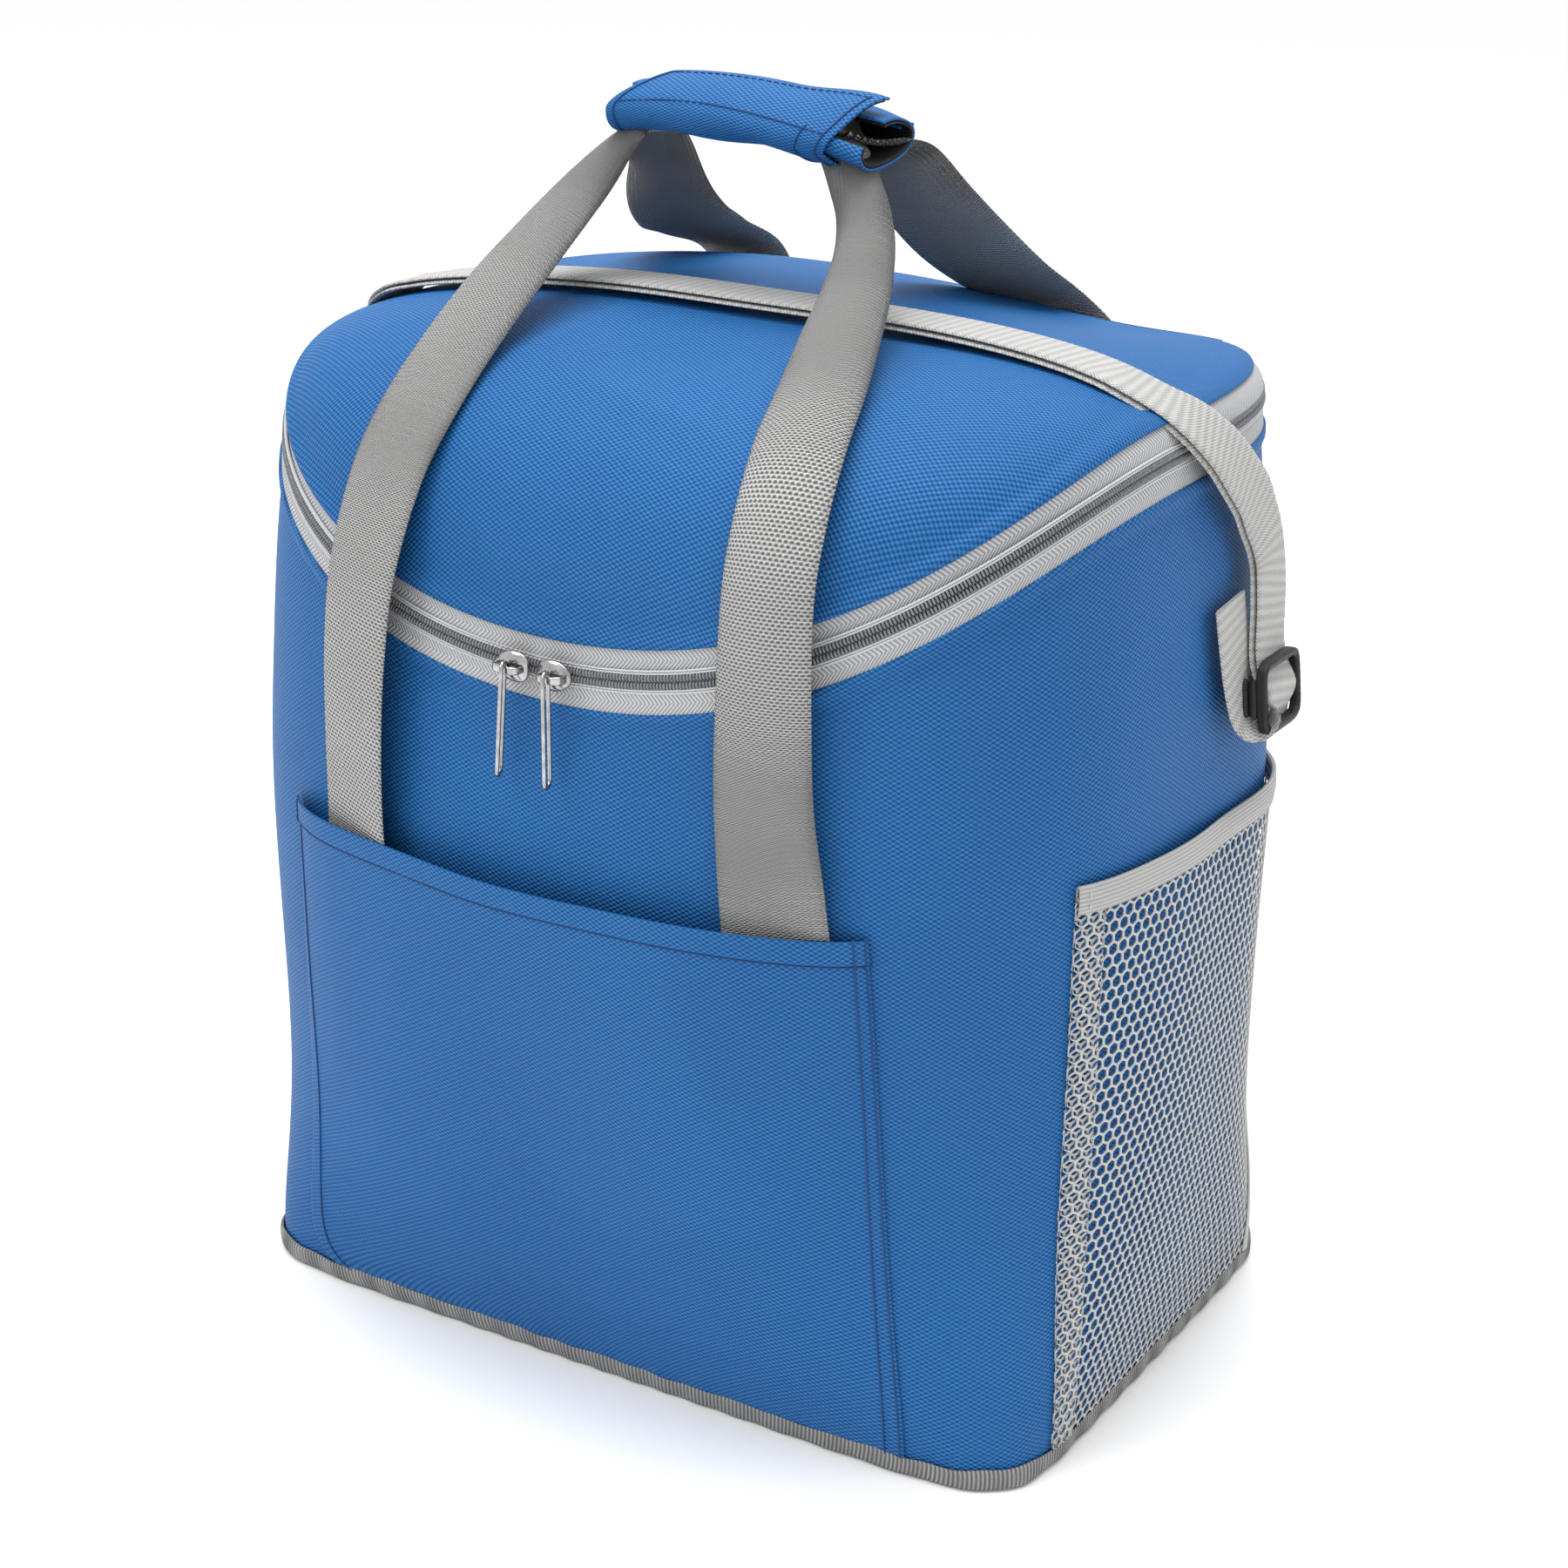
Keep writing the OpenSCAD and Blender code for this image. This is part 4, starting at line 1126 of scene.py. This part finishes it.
def build_flap_stitches():
    """A border of stitches inside the flap's edges and one row along its front."""
    edge = np.linspace(0, 1, 80)
    lines = {
        "flap_free_edge": (lerp(0.035, 0.965, edge), np.full(80, 0.95)),
        "flap_front_row": (lerp(0.035, 0.965, edge), 0.715 + 0.012 * np.sin(5 * edge)),
        "flap_left_end": (np.full(80, 0.035), lerp(0.2, 0.95, edge)),
        "flap_right_end": (np.full(80, 0.965), lerp(0.12, 0.95, edge)),
        "flap_right_row": (np.full(80, 0.88), lerp(0.2, 0.715, edge)),
    }
    for name, (share, s) in lines.items():
        path = flap_point(share, s, 0.0001)
        centre = grip_point(path[:, 0], 0.0, -GRIP_A)
        normal = unit(path - centre)
        add_stitches(f"{name}_stitches", path, normal, BLUE_THREAD, "grip_flap")


# ---- Shoulder strap ----


def on_leg(points):
    """Points of the adjuster's own frame (outwards, y, up), brought to the strap's leg."""
    points = np.asarray(points, float)
    return points + points[..., 2:] * [LEG_RUN[0], LEG_RUN[1], 0] + ADJUSTER


def adjuster_path(up, outwards=0.0):
    return on_leg((outwards, 0, up))


def strap_path(off):
    """The strap from the adjuster up the right side, over the lid and down the left side."""
    rise = [adjuster_path(0.032), adjuster_path(0.047), (0.18, 0.0225, 0.324), (0.1785, 0.011, 0.3385),
            (0.1735, -0.005, 0.355), (0.164, -0.0175, 0.3675)]
    right = [adjuster_path(-0.0135, -0.001), adjuster_path(-0.008), adjuster_path(0.0, 0.003),
             adjuster_path(0.008), adjuster_path(0.016, -0.001)] + rise
    left = [adjuster_path(-0.0135), adjuster_path(0.0), adjuster_path(0.016)] + rise
    x = np.linspace(0.148, -0.148, 25)
    y = STRAP_Y + 0.0015 * np.sin(14 * x + 0.5) + 0.022 * x
    top = np.stack([x, y, lid_top(x) + 0.0034 + 0.0006 * np.sin(31 * x)], axis=1)
    knots = np.vstack([np.array(right), top, np.array(left[::-1]) * np.array([-1, 1, 1])])
    path = spline(knots, 8)
    along = unit(np.gradient(path, axis=0))
    side = np.tile([0.0, 1.0, 0.0], (len(path), 1))
    out = unit(np.cross(side, along))
    return path + out * off, side


def build_strap():
    """Two layers of strap webbing, one on the other."""
    layers = (("strap_upper", 0.00095, 0.0006, ("shoulder_strap", "strap_leg_right", "strap_leg_left")),
              ("strap_lower", -0.00095, -0.0008, ("shoulder_strap_tail",)))
    for name, off, shift, nodes in layers:
        path, side = strap_path(off)
        path[:, 1] += shift
        layer = webbing(name, path, side, STRAP, "webbing", width=STRAP_W, step=0.0009, across=12)
        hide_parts(*nodes)
        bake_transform(layer)


TAB_KNOTS = [
    (0.1795, 0.002, 0.3), (0.1812, 0.0035, 0.286), (0.1827, 0.007, 0.271), (0.1842, 0.0115, 0.26),
    (0.1862, 0.016, 0.257), (0.1888, 0.0195, 0.2568), (0.1902, 0.0215, 0.26), (0.19, 0.0224, 0.264),
]


def build_tab(side):
    """The tab sewn to the side wall: it turns up at the bottom to hold the strap."""
    sign = 1 if side == "right" else -1
    knots = np.array(TAB_KNOTS) * np.array([sign, 1, 1])
    path = spline(knots, 10)
    tab = webbing(f"tab_{side}", path, np.tile([0.0, 1.0, 0.0], (len(path), 1)), STRAP, "webbing",
                  width=STRAP_W, step=0.0008, across=12)
    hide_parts(f"strap_tab_{side}")
    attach(tab, "bag")


def build_adjuster():
    """Three-bar adjuster: a rounded frame outside the webbing and bars inside it."""
    half_w, half_h, corner = 0.015, 0.0115, 0.0045
    turn = np.linspace(0, 2 * math.pi, 64)
    y, up = rounded_outline(turn, half_w, half_h, 0.35)
    outline = on_leg(np.stack([np.full(64, 0.003), y, up], axis=1))
    side = np.tile([1.0, 0.0, 0.0], (64, 1))
    ring = webbing("adjuster_frame", outline, side, PLASTIC, "buckle_plastic", width=0.004,
                   thickness=0.0032, step=0.0005, across=8)
    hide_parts("tri_glide")
    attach(ring, "adjuster")
    reach = half_h - corner
    bars = [("middle_bar", (-0.003, -half_w, 0), (-0.003, half_w, 0), 0.0016)]
    for k, y_bar in enumerate((-half_w, half_w)):
        bars.append((f"rail_{k}", (-0.0034, y_bar, -reach), (-0.0034, y_bar, reach), 0.0017))
        bars.append((f"core_{k}", (0, y_bar, -reach), (0, y_bar, reach), 0.0019))
    for name, start, end, radius in bars:
        path = on_leg(np.linspace(start, end, 12))
        radii = radius * np.sqrt(np.clip(1 - np.abs(np.linspace(-1, 1, 12)) ** 8, 0.05, 1))
        bar = add_one(f"adjuster_{name}", tube_template(path, radii, 12), PLASTIC)
        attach(bar, "adjuster")


def paint_base_board():
    """The one CAD node that is shown as it is."""
    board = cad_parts["base_board"]
    board.data.materials.clear()
    board.data.materials.append(BOARD)


# ---- Stage, camera and light ----


def build_stage():
    """A pale floor under a white world."""
    size, z = 14.0, -0.0004
    paper = grained("floor_paper", (0.96, 0.96, 0.96), (0.97, 0.97, 0.97), 60.0, 0.0001, 0.9)
    corners = [(-size, -size, 0), (size, -size, 0), (size, size, 0), (-size, size, 0)]
    floor = add_mesh("floor", corners, [(0, 1, 2, 3)], paper)
    floor.location.z = z
    world = bpy.data.worlds.new("studio")
    world.use_nodes = True
    background = world.node_tree.nodes["Background"]
    background.inputs["Color"].default_value = (1, 1, 1, 1)
    background.inputs["Strength"].default_value = 1.0
    bpy.context.scene.world = world


def add_light(name, place, size, power):
    """A round soft light aimed at the middle of the bag."""
    data = bpy.data.lights.new(name, "AREA")
    data.shape = "DISK"
    data.size = size
    data.energy = power
    light = bpy.data.objects.new(name, data)
    light.location = place
    light.rotation_euler = (Vector((0, 0, 0.2)) - Vector(place)).to_track_quat("-Z", "Y").to_euler()
    bpy.context.scene.collection.objects.link(light)


def build_camera():
    """The camera that was fitted to the photograph, at its height and angle."""
    azimuth, elevation, roll = math.radians(30.88), math.radians(20.15), math.radians(0.99)
    distance = 1.142
    target = Vector((-0.0006, 0.0072, 0.195))
    level = math.cos(elevation)
    back = Vector((math.sin(azimuth) * level, -math.cos(azimuth) * level, math.sin(elevation)))
    right = Vector((math.cos(azimuth), math.sin(azimuth), 0))
    up = back.cross(right)
    right, up = right * math.cos(roll) + up * math.sin(roll), up * math.cos(roll) - right * math.sin(roll)
    data = bpy.data.cameras.new("camera")
    data.sensor_width = 36.0
    data.lens = 68.0
    camera = bpy.data.objects.new("camera", data)
    turned = Matrix((right, up, back)).transposed().to_4x4()
    camera.matrix_world = Matrix.Translation(target + back * distance) @ turned
    bpy.context.scene.collection.objects.link(camera)
    bpy.context.scene.camera = camera


build_wall_cloth()
build_body_inside()
rim_facing("body_rim_facing", -1, "bag")
rim_facing("lid_rim_facing", 1, "lid")
build_base()
build_bottom_binding()
build_lid_cloth()
build_lid_inside()
build_hinge_gusset()
build_zip_half("lower", -1, "bag")
build_zip_half("upper", 1, "lid")
build_slider("slider_left", LEFT_SLIDER, 1)
build_slider("slider_right", RIGHT_SLIDER, -1)
build_puller("puller_left", LEFT_SLIDER, math.radians(24))
build_puller("puller_right", RIGHT_SLIDER, math.radians(16))
build_front_pocket()
build_mesh_pocket("right", MESH_ENDS[0], MESH_ENDS[1])
build_mesh_pocket("left", math.pi + math.radians(22), math.pi - MESH_ENDS[1])
build_handle("front", FRONT_KNOTS, -1)
build_handle("rear", REAR_KNOTS, 1)
build_rear_boxes()
build_flap()
build_wrap()
build_closing_strips()
build_flap_stitches()
build_strap()
build_tab("right")
build_tab("left")
build_adjuster()
paint_base_board()
build_stage()
build_camera()
add_light("key", (-0.9, -1.3, 1.9), 1.0, 13)
add_light("top", (0.0, 0.1, 2.2), 1.4, 34)
bpy.context.scene.view_settings.view_transform = "Standard"
